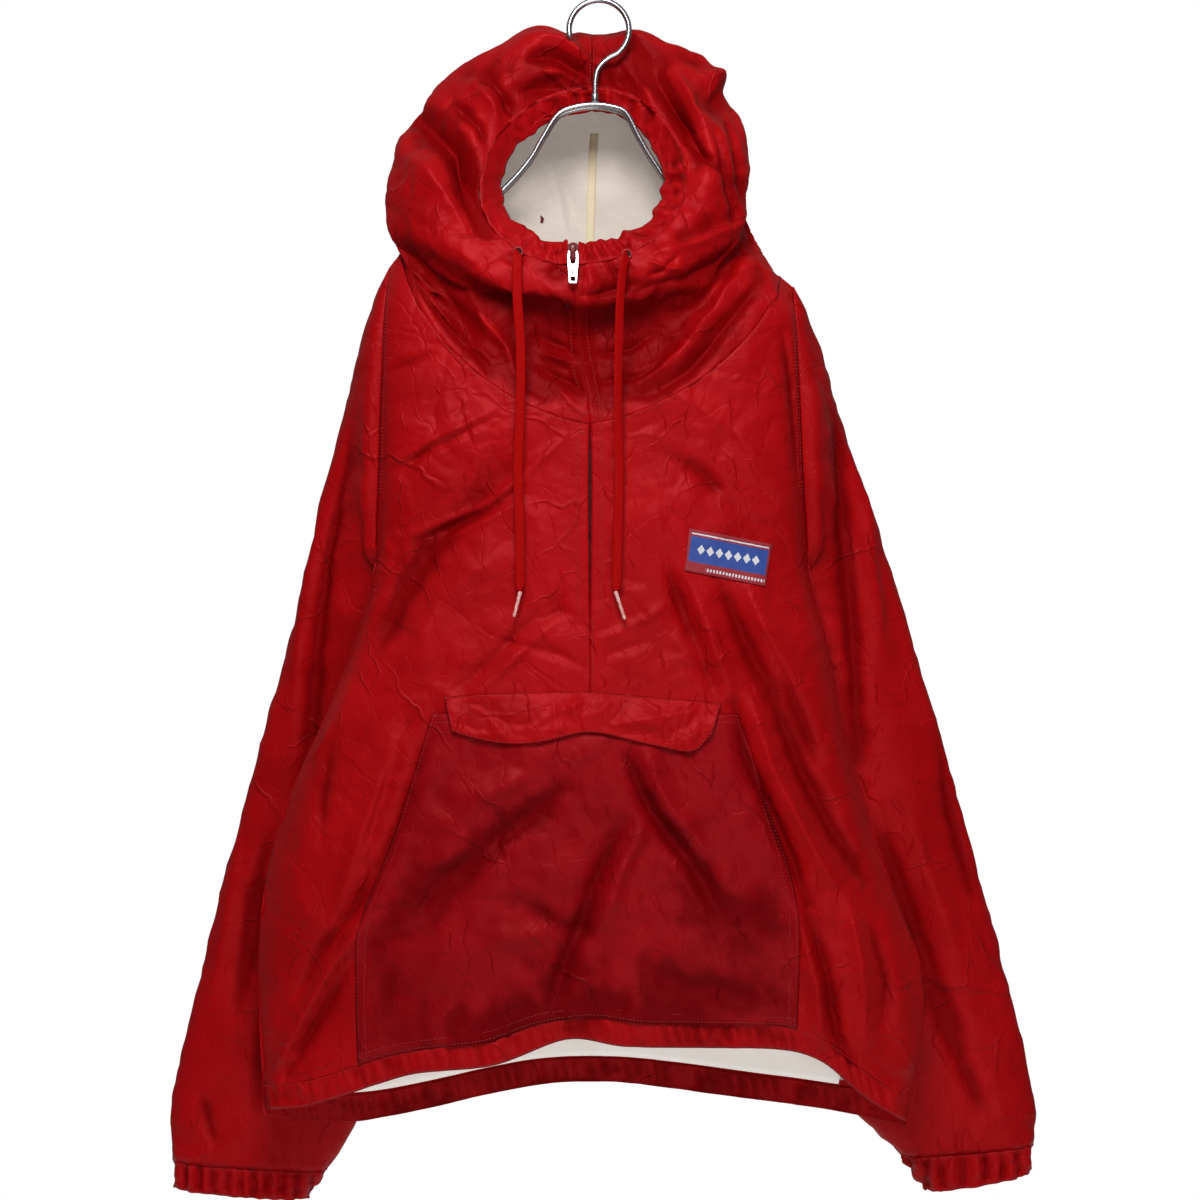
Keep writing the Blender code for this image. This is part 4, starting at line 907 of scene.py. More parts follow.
def sleeve_relief(points, normals, cuff_z, seed):
    """Folds of the sleeve's two sides, its crinkles, and the gathers above the cuff."""
    x, z = points[:, 0], points[:, 2]
    front = np.clip(-normals[:, 1] * 1.6, 0, 1)
    rear = np.clip(normals[:, 1] * 1.6, 0, 1)
    relief = 1.6 * fold_height(SLEEVE_FOLDS, x, z) * front
    relief += fold_height(SLEEVE_BACK_FOLDS, x, z) * rear
    relief += creases(points, seed, ((85, 1.0), (34, 0.8), (14, 0.2)))
    slope = np.sign(np.mean(x)) * 0.12
    above = np.clip((z - cuff_z + slope * x) / CUFF_GATHER_REACH, 0, 1)
    run = x + 60 * (normals[:, 1] > 0)
    relief += 6.0 * (gathers(run, 14.0, seed + 3) - 0.4) * (1 - above) ** 1.6
    return relief


sleeves, cuffs = [], []
for hand, seed in (("left", 11), ("right", 17)):
    sleeve = one_side(f"sleeve_{hand}", f"sleeve_{hand}_shell", 1.2 * MM, widest, 3)
    points, normals, distance = opened(sleeve)
    low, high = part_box(f"cuff_{hand}")
    cuff_z = high.z / MM
    at_cuff = points[:, 2] < cuff_z + 40
    keep = np.where(at_cuff, np.clip(distance / 6, 0.6, 1), np.clip(distance / 14, 0, 1))
    lift = sleeve_relief(points, normals, cuff_z, seed) * keep
    points = sink_edges(sleeve, points, normals, distance)
    points += normals * lift[:, None]
    # Under the arm the sleeve swings in behind the body's side
    centred = points[:, 0] - MIDDLE_X
    under = np.clip((218 - np.abs(centred)) / 20, 0, 1)
    under *= np.exp(-(((points[:, 2] + 497) / 24) ** 4))
    points[:, 0] -= np.sign(centred) * 11.5 * under
    set_points(sleeve, points)
    paint_shade(sleeve, lift)
    sleeves.append(sleeve)

    cuff = one_side(f"cuff_{hand}", f"cuff_{hand}_casing", 2.0 * MM, widest, 4)
    points, normals, distance = opened(cuff)
    run = points[:, 0] + 60 * (normals[:, 1] > 0)
    lift = 5.5 * (gathers(run, 14.0, seed + 3) - 0.45) * np.clip(distance / 5, 0.6, 1)
    lift += 0.9 * crumple(points, 16, seed) - 0.5 * round_edge(distance, 2.0)
    set_points(cuff, points + normals * lift[:, None])
    paint_shade(cuff, lift, 5)
    cuffs.append(cuff)

# ---------------------------------------------------------------- Hood
# A deep two-piece hood that rolls outwards round the drawn-in face opening. Folds radiate from the
# gathered edge, the crown is pleated over the hanger, and the neck is pulled into the zip.
HOOD_FOLDS = (
    (-7, 7.5, ((-157, -96), (-139, -110), (-122, -124), (-107, -150), (-97, -175), (-87, -193))),
    (4, 8.3, ((-166, -129), (-145, -146), (-124, -175), (-109, -206))),
    (-7, 7.5, ((-167, -216), (-132, -245), (-103, -258), (-66, -265), (-24, -268))),
    (4, 5.8, ((-153, -226), (-116, -250), (-78, -295), (-66, -324))),
    (-4, 5, ((-159, -237), (-132, -273), (-107, -301))),
    (-4, 5, ((-140, -245), (-107, -283), (-88, -331))),
    (-6, 5.8, ((48, -59), (62, -87), (72, -121), (84, -133), (102, -146))),
    (5, 6.7, ((64, -57), (79, -88), (91, -116))),
    (-3, 3.3, ((107, -106), (116, -133), (124, -171))),
    (-3, 3.3, ((97, -116), (107, -146), (116, -187))),
    (-5, 6.7, ((131, -201), (101, -226), (76, -237), (34, -251))),
    (4, 6.7, ((126, -187), (84, -208), (51, -218), (34, -226))),
    (-4, 5.8, ((34, -245), (1, -255), (-20, -256))),
    (4, 6.7, ((121, -226), (97, -266), (67, -301), (34, -324))),
    (-4, 6.7, ((134, -241), (102, -283), (76, -316), (42, -339))),
    (6, 6.7, ((-54, -42), (-32, -37), (-7, -45), (6, -60))),
    (-5, 5, ((-57, -52), (-32, -48), (-12, -58), (1, -75))),
    (4, 5, ((-62, -63), (-32, -60), (-7, -73))),
    (-5, 5, ((-64, -75), (-37, -73), (-12, -85))),
    (-5, 5, ((9, -58), (27, -83), (34, -108))),
    (4, 5, ((21, -50), (41, -78), (47, -101))),
    (-4, 5, ((-98, -60), (-82, -79), (-66, -108))),
    (4, 5.8, ((-107, -68), (-89, -90), (-78, -121))),
    (-4, 5, ((-124, -85), (-101, -108), (-89, -133))),
    (-3, 3.3, ((-53, -287), (-28, -295), (-12, -309))),
    (-3, 3.3, ((-49, -312), (-24, -324), (-9, -337))),
    (3, 3.3, ((-45, -301), (-22, -309))),
    (-3, 3.3, ((1, -300), (26, -295), (47, -283))),
    (-3, 3.3, ((1, -324), (34, -318), (51, -308))),
    (2.5, 2.5, ((39, -226), (52, -231), (71, -235))),
    (-2.5, 2.5, ((42, -238), (54, -233), (64, -223))),
)
HOOD_ROLLS = (
    (-12, 13, ((-150, -101), (-122, -124), (-102, -169), (-88, -196))),
    (5, 12, ((-128, -210), (-95, -234), (-60, -250), (-8, -260), (34, -255), (72, -234))),
    (-9, 13, ((-141, -226), (-107, -250), (-66, -270), (-8, -281), (34, -275), (78, -250))),
    (-6, 9, ((127, -179), (101, -198), (67, -211), (38, -226))),
    (-6, 8, ((57, -80), (82, -126), (79, -152))),
    (-10, 32, ((-96, -292), (-50, -306), (-8, -311), (40, -306), (78, -288))),
)
HOOD_BACK_FOLDS = (
    (-4, 10, ((-120, -120), (-60, -160), (-20, -230))),
    (4, 10, ((-90, -90), (-30, -140), (0, -220))),
    (-4, 10, ((90, -120), (50, -170), (20, -240))),
    (3, 9, ((110, -150), (60, -210), (30, -260))),
)
HOOD_PEAKS = (
    (-52, -36, 22, (-2, 13)), (30, -36, 16, (1, 12)), (-9, -34, 9, (0, -6)),
    (98, -62, 9, (9, 7)), (92, -86, 9, (-5, -1)), (118, -100, 18, (4, 3)),
)
OPENING_CENTRE = (-13.0, -157.0)
OPENING_RADIUS = 70


def about_opening(points):
    """Distance round and out from the centre of the face opening, in millimetres."""
    x, z = points[:, 0] - OPENING_CENTRE[0], points[:, 2] - OPENING_CENTRE[1]
    return np.arctan2(x, z) * OPENING_RADIUS, np.hypot(x, z)


def smooth_left(x, z):
    """The left of the opening, where the cloth is pulled smooth and hardly gathers."""
    return 0.7 * np.clip((-48 - x) / 25, 0, 1) * np.clip((z + 215) / 30, 0, 1)


def hood_relief(points, normals):
    """The hood's folds, its rolled edge and its gathers, at each point."""
    x, z = points[:, 0], points[:, 2]
    front = np.clip(0.35 - normals[:, 1] * 1.5, 0, 1) * (points[:, 1] < 45)
    rear = np.clip(normals[:, 1] * 1.5, 0, 1)
    relief = (1.8 * fold_height(HOOD_FOLDS, x, z) + fold_height(HOOD_ROLLS, x, z)) * front
    relief += np.maximum(fold_height(HOOD_BACK_FOLDS, x, z), -0.8) * rear
    relief += creases(points, 8, ((70, 2.2), (30, 1.0), (13, 0.3)))
    run, out = about_opening(points)
    near = np.exp(-((np.clip(out - 74, 0, None) / 20) ** 1.3)) * front
    wide = np.exp(-((np.clip(out - 80, 0, None) / 42) ** 1.5)) * front
    slack = 1 - smooth_left(x, z)
    relief += 3.0 * (gathers(run + 0.25 * out, 13.0, 4) - 0.45) * near * slack
    relief += 2.8 * (gathers(run - 0.35 * out, 31.0, 9) - 0.45) * wide * slack
    low = strip_behind_cords(x, z) * front
    return np.where(relief > 0.5, relief * (1 - low) + np.minimum(relief, 0.5) * low, relief)


hood = []
for hand in ("left", "right"):
    half = one_side(f"hood_{hand}", f"hood_{hand}_shell", 1.2 * MM, widest, 4)
    points, normals, distance = opened(half)
    lift = hood_relief(points, normals) * np.clip(0.25 + distance / 16, 0, 1)
    points = sink_edges(half, points, normals, distance, 0.1, 2.5, 1.2)
    points += normals * lift[:, None]
    # The crown's peaks: two humps beside the hook and a pinched tip on the right
    for x, z, reach, push in HOOD_PEAKS:
        near = np.exp(-((points[:, 0] - x) ** 2 + (points[:, 2] - z) ** 2) / reach**2)
        points += near[:, None] * np.array((push[0], 0, push[1]))
    set_points(half, points)
    x, z = points[:, 0], points[:, 2]
    # Painted shade: the crown above the opening and the collar below it darker, the whole front of
    # the hood a little darker, and random darker patches
    painted_crown_collar_shade = 7.5 * np.exp(-(((x + 2) / 62) ** 2) - ((z + 62) / 30) ** 2)
    painted_crown_collar_shade += 2.5 * np.exp(-(((x + 10) / 75) ** 2) - ((z + 285) / 36) ** 2) + 1.4
    shade = 0.8 * crumple(points, 45, 3) - painted_crown_collar_shade
    paint_shade(half, lift + shade * (points[:, 1] < 45), 10)
    hood.append(half)

casing = one_side("hood_casing", "hood_cord_casing", 2.2 * MM, front_most, 4)
points, normals, distance = opened(casing)
run, out = about_opening(points)
lift = 3.2 * (gathers(run + 0.25 * out, 13.0, 4) - 0.45) + 1.1 * crumple(points, 17, 2)
lift += 1.3 * (gathers(run + 0.6 * out, 21.0, 7) - 0.5)
lift = lift * np.clip(distance / 4, 0.4, 1) * (1 - smooth_left(points[:, 0], points[:, 2]))
points = sink_edges(casing, points, normals, distance, 0.0, 2.0, 1.2)
ragged = np.array([
    noise.noise(Vector((place / 26, 3.0, 1.5))) + 0.5 * noise.noise(Vector((place / 9, 8.0, 2.5)))
    for place in run
])
around = run / OPENING_RADIUS
away = np.stack([np.sin(around), np.zeros_like(run), np.cos(around)], axis=-1)
edge = np.clip((78 - out) / 14, 0, 1)
points += away * (4.4 * ragged * edge)[:, None]
set_points(casing, points + normals * lift[:, None])
paint_shade(casing, lift, 5)

# ---------------------------------------------------------------- Belly pocket
# One large patch pocket over the centre seam, entered from under its flap and sewn down along its
# slanted and upright sides. Its own sag folds lie over those of the front that carries it.
POCKET_FOLDS = (
    (-4, 9.9, ((-32, -664), (-73, -697), (-115, -731), (-144, -759))),
    (3, 11.6, ((-107, -673), (-65, -656))),
    (-5, 7.4, ((19, -693), (1, -731), (-12, -768), (-28, -805), (-45, -854))),
    (4, 7.4, ((34, -697), (14, -739), (1, -780))),
    (-4.5, 6.6, ((24, -637), (40, -677), (75, -724), (99, -764))),
    (3.5, 7.4, ((39, -637), (57, -677), (88, -714))),
    (-3, 9.9, ((44, -807), (75, -823), (143, -835))),
    (3, 11.6, ((-140, -805), (-82, -788), (-32, -780))),
    (-3, 7.4, ((-65, -755), (-32, -776), (1, -784))),
)


front_tree = tree_of(*fronts)
pocket = one_side("pocket", "belly_pocket", 1.2 * MM, front_most, 3)
points, normals, distance = opened(pocket)
own = 2.4 * fold_height(POCKET_FOLDS, points[:, 0], points[:, 2])
flat = level_with(points, 40)
own += 1.3 * creases(flat, 13)
shared = front_relief(points)
# The lower part is drawn down to the hem's casing, into whose seam it is sewn.
hem_points = points_of(front_hem)[0]
for index, (x, _, z) in enumerate(points):
    if z < -790:
        beside = hem_points[np.abs(hem_points[:, 0] - x) < 5]
        end = beside[:, 2].max() - 1.5
        points[index, 2] = z + (end + 850) * (-790 - z) / 60
inner = np.clip(distance / 22, 0, 1)
for index, (x, _, z) in enumerate(points):
    if z < -800:
        hit = front_tree.ray_cast(Vector((x, -300, z)), Vector((0, 1, 0)))[0]
        if hit is not None:
            bulge = under_pocket(np.array([(x, 0, z)]))[0]
            level = hit.y - bulge - 1.3 - 2.0 * inner[index] + shared[index]
            part = min(1.0, (-800 - z) / 30)
            points[index, 1] += (level - points[index, 1]) * part
points = sink_edges(pocket, points, normals, distance, 0.4, 3.0, 0)
points[:, 1] -= shared + own * inner
set_points(pocket, points)
# Painted shade in broad bands between the pocket's folds, where the cloth itself is not moved, with
# random patches and the folds' own painted shade
POCKET_PAINTED_SHADE_BANDS = (
    (-5, 19, ((-215, -800), (-150, -752), (-100, -716), (-36, -665))),
    (-5, 36, ((-200, -872), (-100, -862), (0, -852), (90, -840), (160, -850))),
    (-4, 26, ((60, -750), (110, -765), (160, -775))),
    (-5, 8, ((21, -637), (50, -680), (78, -725), (108, -762))),
    (-4, 12, ((-128, -600), (-100, -604), (-40, -606))),
)
turned = fold_height(POCKET_PAINTED_SHADE_BANDS, points[:, 0], points[:, 2])
turned += 0.9 * crumple(flat, 26, 71)
paint_shade(pocket, 0.6 * (shared + own * inner) + turned, 9)

# ---------------------------------------------------------------- Pocket flap
# A shaped double-layer flap that covers the pocket's mouth, stitched along its top and turned and
# top-stitched along its free edge. It lies loose, so its lower edge waves.
FLAP_FOLDS = (
    (3.0, 5, ((-66, -616), (-40, -602), (-8, -587))),
    (-2.5, 6, ((-112, -612), (-80, -600), (-44, -608))),
    (2.6, 5, ((8, -612), (45, -604), (92, -598))),
    (-2.6, 6, ((22, -624), (55, -618), (86, -608))),
    (2.2, 4, ((-108, -594), (-88, -606), (-76, -622))),
)
flap = one_side("pocket_flap", "pocket_flap_shell", 1.2 * MM, front_most, 4)
points, normals, distance = opened(flap)
own = 1.2 * creases(level_with(points, 80), 29) + fold_height(FLAP_FOLDS, points[:, 0], points[:, 2])
own = np.maximum(own, -1.2) * np.clip(distance / 8, 0.3, 1) - 0.8 * round_edge(distance, 2.0)
shared = front_relief(points)
drop = np.clip((-588 - points[:, 2]) / 40, 0, 1)
points[:, 0] -= 13 * drop * np.clip((points[:, 0] - 55) / 45, 0, 1)
points[:, 0] += 9 * drop * np.clip((-88 - points[:, 0]) / 38, 0, 1)
points[:, 1] -= shared + own
set_points(flap, points)
paint_shade(flap, own, 5)

# ---------------------------------------------------------------- Chest patch
# A small woven label sewn flat to the right breast: a plain blue ground with a thin line above, a
# row of white lozenges between two bars, and a row of short dashes below. It carries no words.
patch = one_side("chest_patch", "woven_patch", 1.0 * MM, front_most, 4)
points, normals = points_of(patch)
points[:, 1] -= front_relief(points) * 0.8
set_points(patch, points)


def patch_material():
    """The generic badge, drawn from the patch's own corner coordinates, kept as its UV map."""
    material, tree, surface, place = shader("patch_weave", (0.03, 0.04, 0.06), 0.7, 0)
    parts = tree.nodes.new("ShaderNodeSeparateXYZ")
    tree.links.new(place.outputs["UV"], parts.inputs[0])
    across, up = parts.outputs[0], parts.outputs[1]

    def between(value, low, high):
        above = combine(tree, "GREATER_THAN", value, low)
        below = combine(tree, "LESS_THAN", value, high)
        return combine(tree, "MULTIPLY", above, below)

    cell = combine(tree, "FRACT", combine(tree, "MULTIPLY", across, 9.0), 0.0)
    beside = combine(tree, "ABSOLUTE", combine(tree, "SUBTRACT", cell, 0.5), 0.0)
    height = combine(tree, "ABSOLUTE", combine(tree, "SUBTRACT", up, 0.55), 0.0)
    lean = combine(tree, "ADD", beside, combine(tree, "MULTIPLY", height, 3.6))
    lozenge = combine(tree, "LESS_THAN", lean, 0.42)
    inside = between(across, 0.11, 0.89)
    lozenge = combine(tree, "MULTIPLY", lozenge, inside)
    dash = combine(tree, "FRACT", combine(tree, "MULTIPLY", across, 26.0), 0.0)
    dash = combine(tree, "LESS_THAN", dash, 0.55)
    dash = combine(tree, "MULTIPLY", dash, between(up, 0.07, 0.14))
    dash = combine(tree, "MULTIPLY", dash, between(across, 0.25, 0.97))
    line = combine(tree, "MULTIPLY", between(up, 0.88, 0.915), between(across, 0.03, 0.97))
    white = combine(tree, "MAXIMUM", combine(tree, "MAXIMUM", lozenge, dash), line)
    ground = between(up, 0.24, 0.84)
    ground = combine(tree, "MULTIPLY", ground, between(across, 0.03, 0.97))
    mix = tree.nodes.new("ShaderNodeMix")
    mix.data_type = "RGBA"
    mix.inputs["A"].default_value = (0.30, 0.012, 0.02, 1)
    mix.inputs["B"].default_value = (0.022, 0.06, 0.30, 1)
    tree.links.new(ground, mix.inputs["Factor"])
    over = tree.nodes.new("ShaderNodeMix")
    over.data_type = "RGBA"
    over.inputs["B"].default_value = (0.66, 0.66, 0.70, 1)
    tree.links.new(mix.outputs["Result"], over.inputs["A"])
    tree.links.new(white, over.inputs["Factor"])
    tree.links.new(over.outputs["Result"], surface.inputs["Base Color"])
    weave = texture(tree, "ShaderNodeTexNoise", place.outputs["Object"], 1400.0)
    normal = bump(tree, weave.outputs["Fac"], 0.0002, 0.4)
    tree.links.new(normal, surface.inputs["Normal"])
    return material


def corner_uv(piece):
    """Lays a UV map from 0 to 1 between the patch's four corners."""
    points = points_of(piece)[0]
    x, z = points[:, 0], points[:, 2]
    corners = [points[np.argmin(np.abs(x - cx) + np.abs(z - cz))][[0, 2]] for cx, cz in (
        (x[np.argmin(x - z)], z[np.argmin(x - z)]), (x[np.argmax(x + z)], z[np.argmax(x + z)]),
        (x[np.argmin(x + z)], z[np.argmin(x + z)]), (x[np.argmax(x - z)], z[np.argmax(x - z)]),
    )]
    top_left, top_right, low_left, low_right = corners
    along = (top_right - top_left + low_right - low_left) / 2
    upward = (top_left - low_left + top_right - low_right) / 2
    basis = np.linalg.inv(np.stack([along, upward], axis=1))
    middle = sum(corners) / 4
    uv = (points[:, [0, 2]] - middle) @ basis.T + 0.5
    layer = piece.data.uv_layers.new(name="UVMap")
    for loop in piece.data.loops:
        layer.data[loop.index].uv = uv[loop.vertex_index]


corner_uv(patch)
patch.data.materials.clear()
patch.data.materials.append(patch_material())

# ---------------------------------------------------------------- Linings
# The hood is lined with off-white cotton and the body's back with the same cloth. The hood's
# lining has a narrow yellowish tape down its middle seam, and hangs in one long slanting fold.
HOOD_LINING_FOLDS = (
    (-5, 7, ((-38, -112), (-30, -150), (-16, -203))),
    (4, 6, ((-46, -116), (-37, -152), (-24, -205))),
    (-3, 8, ((34, -118), (24, -150), (14, -200))),
    (-3, 9, ((-74, -132), (-60, -160), (-50, -200))),
)


def held_in_front(points, tree, gap):
    """Keeps a lining a little in front of the rear wall that it hangs against."""
    for index, (x, y, z) in enumerate(points):
        hit = tree.ray_cast(Vector((x, 250, z)), Vector((0, -1, 0)))[0]
        if hit is not None:
            points[index, 1] = min(y, hit.y - gap)


hood_lining = one_side("hood_lining", "hood_lining_cloth", 1.0 * MM, front_most, 4)
points, normals, distance = opened(hood_lining)
lean = fold_height(HOOD_LINING_FOLDS, points[:, 0], points[:, 2])
lift = (lean + 1.2 * creases(points, 41)) * np.clip(distance / 10, 0, 1)
points[:, 1] -= lift * 0.8
low = np.clip((-165 - points[:, 2]) / 25, 0, 1)
points[:, 2] -= 9 * low * np.clip((122 - np.abs(points[:, 0] + 13)) / 30, 0, 1)
# The lining is cut a little smaller than the shell, and stays in front of its rear wall.
points[:, 0] += (-18.5 - points[:, 0]) * 0.07
points[:, 2] += (-115 - points[:, 2]) * np.where(points[:, 2] > -115, 0.10, 0)
held_in_front(points, tree_of(*hood), 3.0)
set_points(hood_lining, points)


def seam_tape(name, line, width, tree, colour):
    """A narrow flat tape laid over a seam, down a line of x and z."""
    rows = smooth_rows(line, np.linspace(0, len(line) - 1, 40))
    grid = []
    for x, z in rows:
        row = []
        for side in (-0.5, -0.2, 0.2, 0.5):
            hit = tree.ray_cast(Vector((x + side * width, -40, z)), Vector((0, 1, 0)))[0]
            row.append((x + side * width, (hit.y if hit else 60) - 0.35, z))
        grid.append(row)
    made = add_grid(name, np.array(grid), False, shader(name, colour, 0.85)[0])
    thicken(made, 0.25, made.data.materials[0])
    return made


lining_tape = seam_tape(
    "hood_lining_tape", ((-4, -98), (-6, -130), (-7, -165), (-8, -203)), 7.5,
    tree_of(hood_lining), (0.74, 0.64, 0.44),
)
belongs(lining_tape)

# A short end of red thread left in the lining
maroon = shader("maroon_thread", (0.10, 0.004, 0.01), 0.8)[0]
thread_spot = sweep(
    "lining_loose_thread",
    ((-50.5, 0, -174), (-49, -1.2, -177), (-49.8, -1.4, -180), (-48.2, 0, -183)),
    (1.0, 3.0, 2.4, 0.7), (0.7, 1.2, 1.0, 0.5), [0] * 4, 10, maroon,
)
points = points_of(thread_spot)[0]
lining_tree = tree_of(hood_lining)
hit = lining_tree.ray_cast(Vector((-49.5, -40, -178)), Vector((0, 1, 0)))[0]
points[:, 1] += hit.y - 0.3
set_points(thread_spot, points)
belongs(thread_spot)

back_lining = one_side("back_lining", "back_lining_cloth", 1.0 * MM, front_most, 3)
points, normals, distance = opened(back_lining)
points[:, 1] -= 0.4 * np.abs(creases(points, 47)) * np.clip(distance / 8, 0, 1)
held_in_front(points, tree_of(back), 2.6)
set_points(back_lining, points)

# ---------------------------------------------------------------- Seams
# The raw edges are felled: turned in, laid against each other and sewn through with small red
# stitches, one or two rows beside each seam, so the cloth dips a little along them.
STITCH_PITCH = 3.0
STITCH = ((-1.0, -0.3, 0), (1.0, -0.3, 0), (1.0, 0.3, 0), (-1.0, 0.3, 0),
          (-0.6, -0.14, 0.3), (0.6, -0.14, 0.3), (0.6, 0.14, 0.3), (-0.6, 0.14, 0.3))
STITCH_FACES = ((0, 3, 2, 1), (4, 5, 6, 7), (0, 1, 5, 4), (1, 2, 6, 5), (2, 3, 7, 6), (3, 0, 4, 7))


def sew(name, lines, tree, pitch=STITCH_PITCH, size=1.0):
    """Small thread dashes along lines, laid on the cloth and joined as one piece."""
    points, faces = [], []
    for line in lines:
        steps = np.linalg.norm(np.diff(line, axis=0), axis=1)
        run = np.concatenate([[0], np.cumsum(steps)])
        if run[-1] < pitch:
            continue
        places = np.arange(pitch / 2, run[-1], pitch)
        spots = np.stack([np.interp(places, run, line[:, axis]) for axis in range(3)], axis=1)
        ahead = np.stack([np.interp(places + 0.8, run, line[:, axis]) for axis in range(3)], axis=1)
        behind = np.stack([np.interp(places - 0.8, run, line[:, axis]) for axis in range(3)], axis=1)
        for spot, direction in zip(spots, ahead - behind):
            hit, normal, _, gap = tree.find_nearest(spot)
            if hit is None or gap > 6:
                continue
            along = Vector(direction)
            along = (along - normal * along.dot(normal)).normalized()
            side = normal.cross(along)
            start = len(points)
            for x, y, z in STITCH:
                spot_here = hit + (along * x + side * y) * size + normal * (z * size + 0.02)
                points.append(spot_here * MM)
            faces += [tuple(start + index for index in face) for face in STITCH_FACES]
    mesh = bpy.data.meshes.new(name)
    mesh.from_pydata(points, [], faces)
    piece = bpy.data.objects.new(name, mesh)
    bpy.context.scene.collection.objects.link(piece)
    piece.data.materials.append(thread)
    piece.data.shade_smooth()
    belongs(piece)


def beside(edges, offset, keep):
    """Lines that run beside raw edges, in the stretches where keep(x, y, z) is true."""
    lines = []
    for points, inner, _ in edges:
        moved = points + inner * offset
        wanted = keep(points[:, 0], points[:, 1], points[:, 2])
        moved = np.concatenate([moved, moved[:1]])
        wanted = np.concatenate([wanted, wanted[:1]])
        close = np.linalg.norm(np.diff(moved, axis=0), axis=1) < 30
        part = [moved[0]] if wanted[0] else []
        for index in range(1, len(moved)):
            if wanted[index] and close[index - 1]:
                part.append(moved[index])
            else:
                if len(part) > 2:
                    lines.append(np.array(part))
                part = [moved[index]] if wanted[index] else []
        if len(part) > 2:
            lines.append(np.array(part))
    return lines


thread = shader("red_thread", (0.34, 0.006, 0.010), 0.55)[0]
sewn = (*fronts, back, front_hem, back_hem, *sleeves, *cuffs, *hood, casing, pocket, flap, patch)
edges = {piece.name: raw_edges(piece) for piece in sewn}

# ---------------------------------------------------------------- Layers of cloth
# Every dressed skin gets its thickness: the shell's nylon outside and, where the inside can be
# seen, the cotton's colour inside.
for piece, keep, facing, rear in (
    (fronts[0], 0.7, FACING, FACING), (fronts[1], 0.7, FACING, FACING), (back, 0.6, 3.0, 3.0),
    (hood[0], 0.62, 30.0, 3.0), (hood[1], 0.62, 30.0, 3.0),
    (sleeves[0], 0.9, FACING, FACING), (sleeves[1], 0.9, FACING, FACING),
):
    thicken(piece, SHELL_THICKNESS, nylon, cotton, keep, facing, rear)
# No cotton shows at the hood's sides, where its front rolls over its back
HOOD_HALF_WIDTH = 104.0
for half in hood:
    for polygon in half.data.polygons:
        if abs(polygon.center.x / MM - OPENING_CENTRE[0]) > HOOD_HALF_WIDTH:
            polygon.material_index = 0
for piece, outside, keep in (
    (cuffs[0], nylon, 0.6), (cuffs[1], nylon, 0.6), (back_hem, nylon, 1.0), (front_hem, nylon, 1.0),
    (casing, nylon, 0.5), (pocket, pocket_nylon, 1.0), (flap, nylon, 1.0),
):
    thicken(piece, SHELL_THICKNESS, outside, keep=keep)
thicken(hood_lining, 0.5, hood_painted_light_cotton, keep=0.6)
thicken(back_lining, 0.5, painted_light_cotton)
thicken(patch, 0.6, patch.data.materials[0], keep=0.5)


# ---------------------------------------------------------------- Rows of stitches
# Red polyester thread along the seams, sewn once the cloth has its thickness: a single row at the
# neck, the centre seam and the casings, and twin rows at the armholes and the pocket.
def whole_edge(x, y, z):
    return abs(x) < 500


def neck_edge(x, y, z):
    return (abs(x - MIDDLE_X) < 152) & (z > -358)


def armhole_edge(x, y, z):
    return (abs(x - MIDDLE_X) > 160) & (z > -420)


def zip_edge(x, y, z):
    return (abs(x + 7.5) < 8) & (z > -521)


def centre_edge(x, y, z):
    return (abs(x + 7.5) < 8) & (z < -521) & (z > -590)


def casing_edge(x, y, z):
    return np.hypot(x - OPENING_CENTRE[0], z - OPENING_CENTRE[1]) > 66


def crown_edge(x, y, z):
    return (abs(x) < 30) & (z > -110)


def hood_zip_edge(x, y, z):
    return (abs(x + 15) < 14) & (z < -215) & (y < 0)


def pocket_edge(x, y, z):
    return z < -597


def sew_beside(row, piece, tree, keep, *offsets):
    """Rows of stitches at set distances from a piece's raw edges, named after the row."""
    lines = [line for offset in offsets for line in beside(edges[piece.name], offset, keep)]
    sew(f"stitches_{row}", lines, tree)


fronts_tree = tree_of(*fronts)
for hand, piece in zip(("left", "right"), fronts):
    sew_beside(f"neck_front_{hand}", piece, fronts_tree, neck_edge, 2.5)
    sew_beside(f"armhole_front_{hand}", piece, fronts_tree, armhole_edge, 2.2, 8.0)
    sew_beside(f"zip_front_{hand}", piece, fronts_tree, zip_edge, 9.5)
    sew_beside(f"centre_front_{hand}", piece, fronts_tree, centre_edge, 2.0)
for piece in (front_hem, back_hem):
    sew_beside(piece.name, piece, tree_of(piece), whole_edge, 2.0)
for piece in cuffs:
    sew_beside(piece.name, piece, tree_of(piece), whole_edge, 2.2)
sew_beside("hood_casing", casing, tree_of(casing), casing_edge, 2.0)
hood_tree = tree_of(*hood)
for hand, piece in zip(("left", "right"), hood):
    sew_beside(f"crown_hood_{hand}", piece, hood_tree, crown_edge, 2.5)
    sew_beside(f"zip_hood_{hand}", piece, hood_tree, hood_zip_edge, 9.5)
sew_beside("pocket", pocket, tree_of(pocket), pocket_edge, 2.0, 8.0)
sew_beside("flap", flap, tree_of(flap), whole_edge, 2.2)

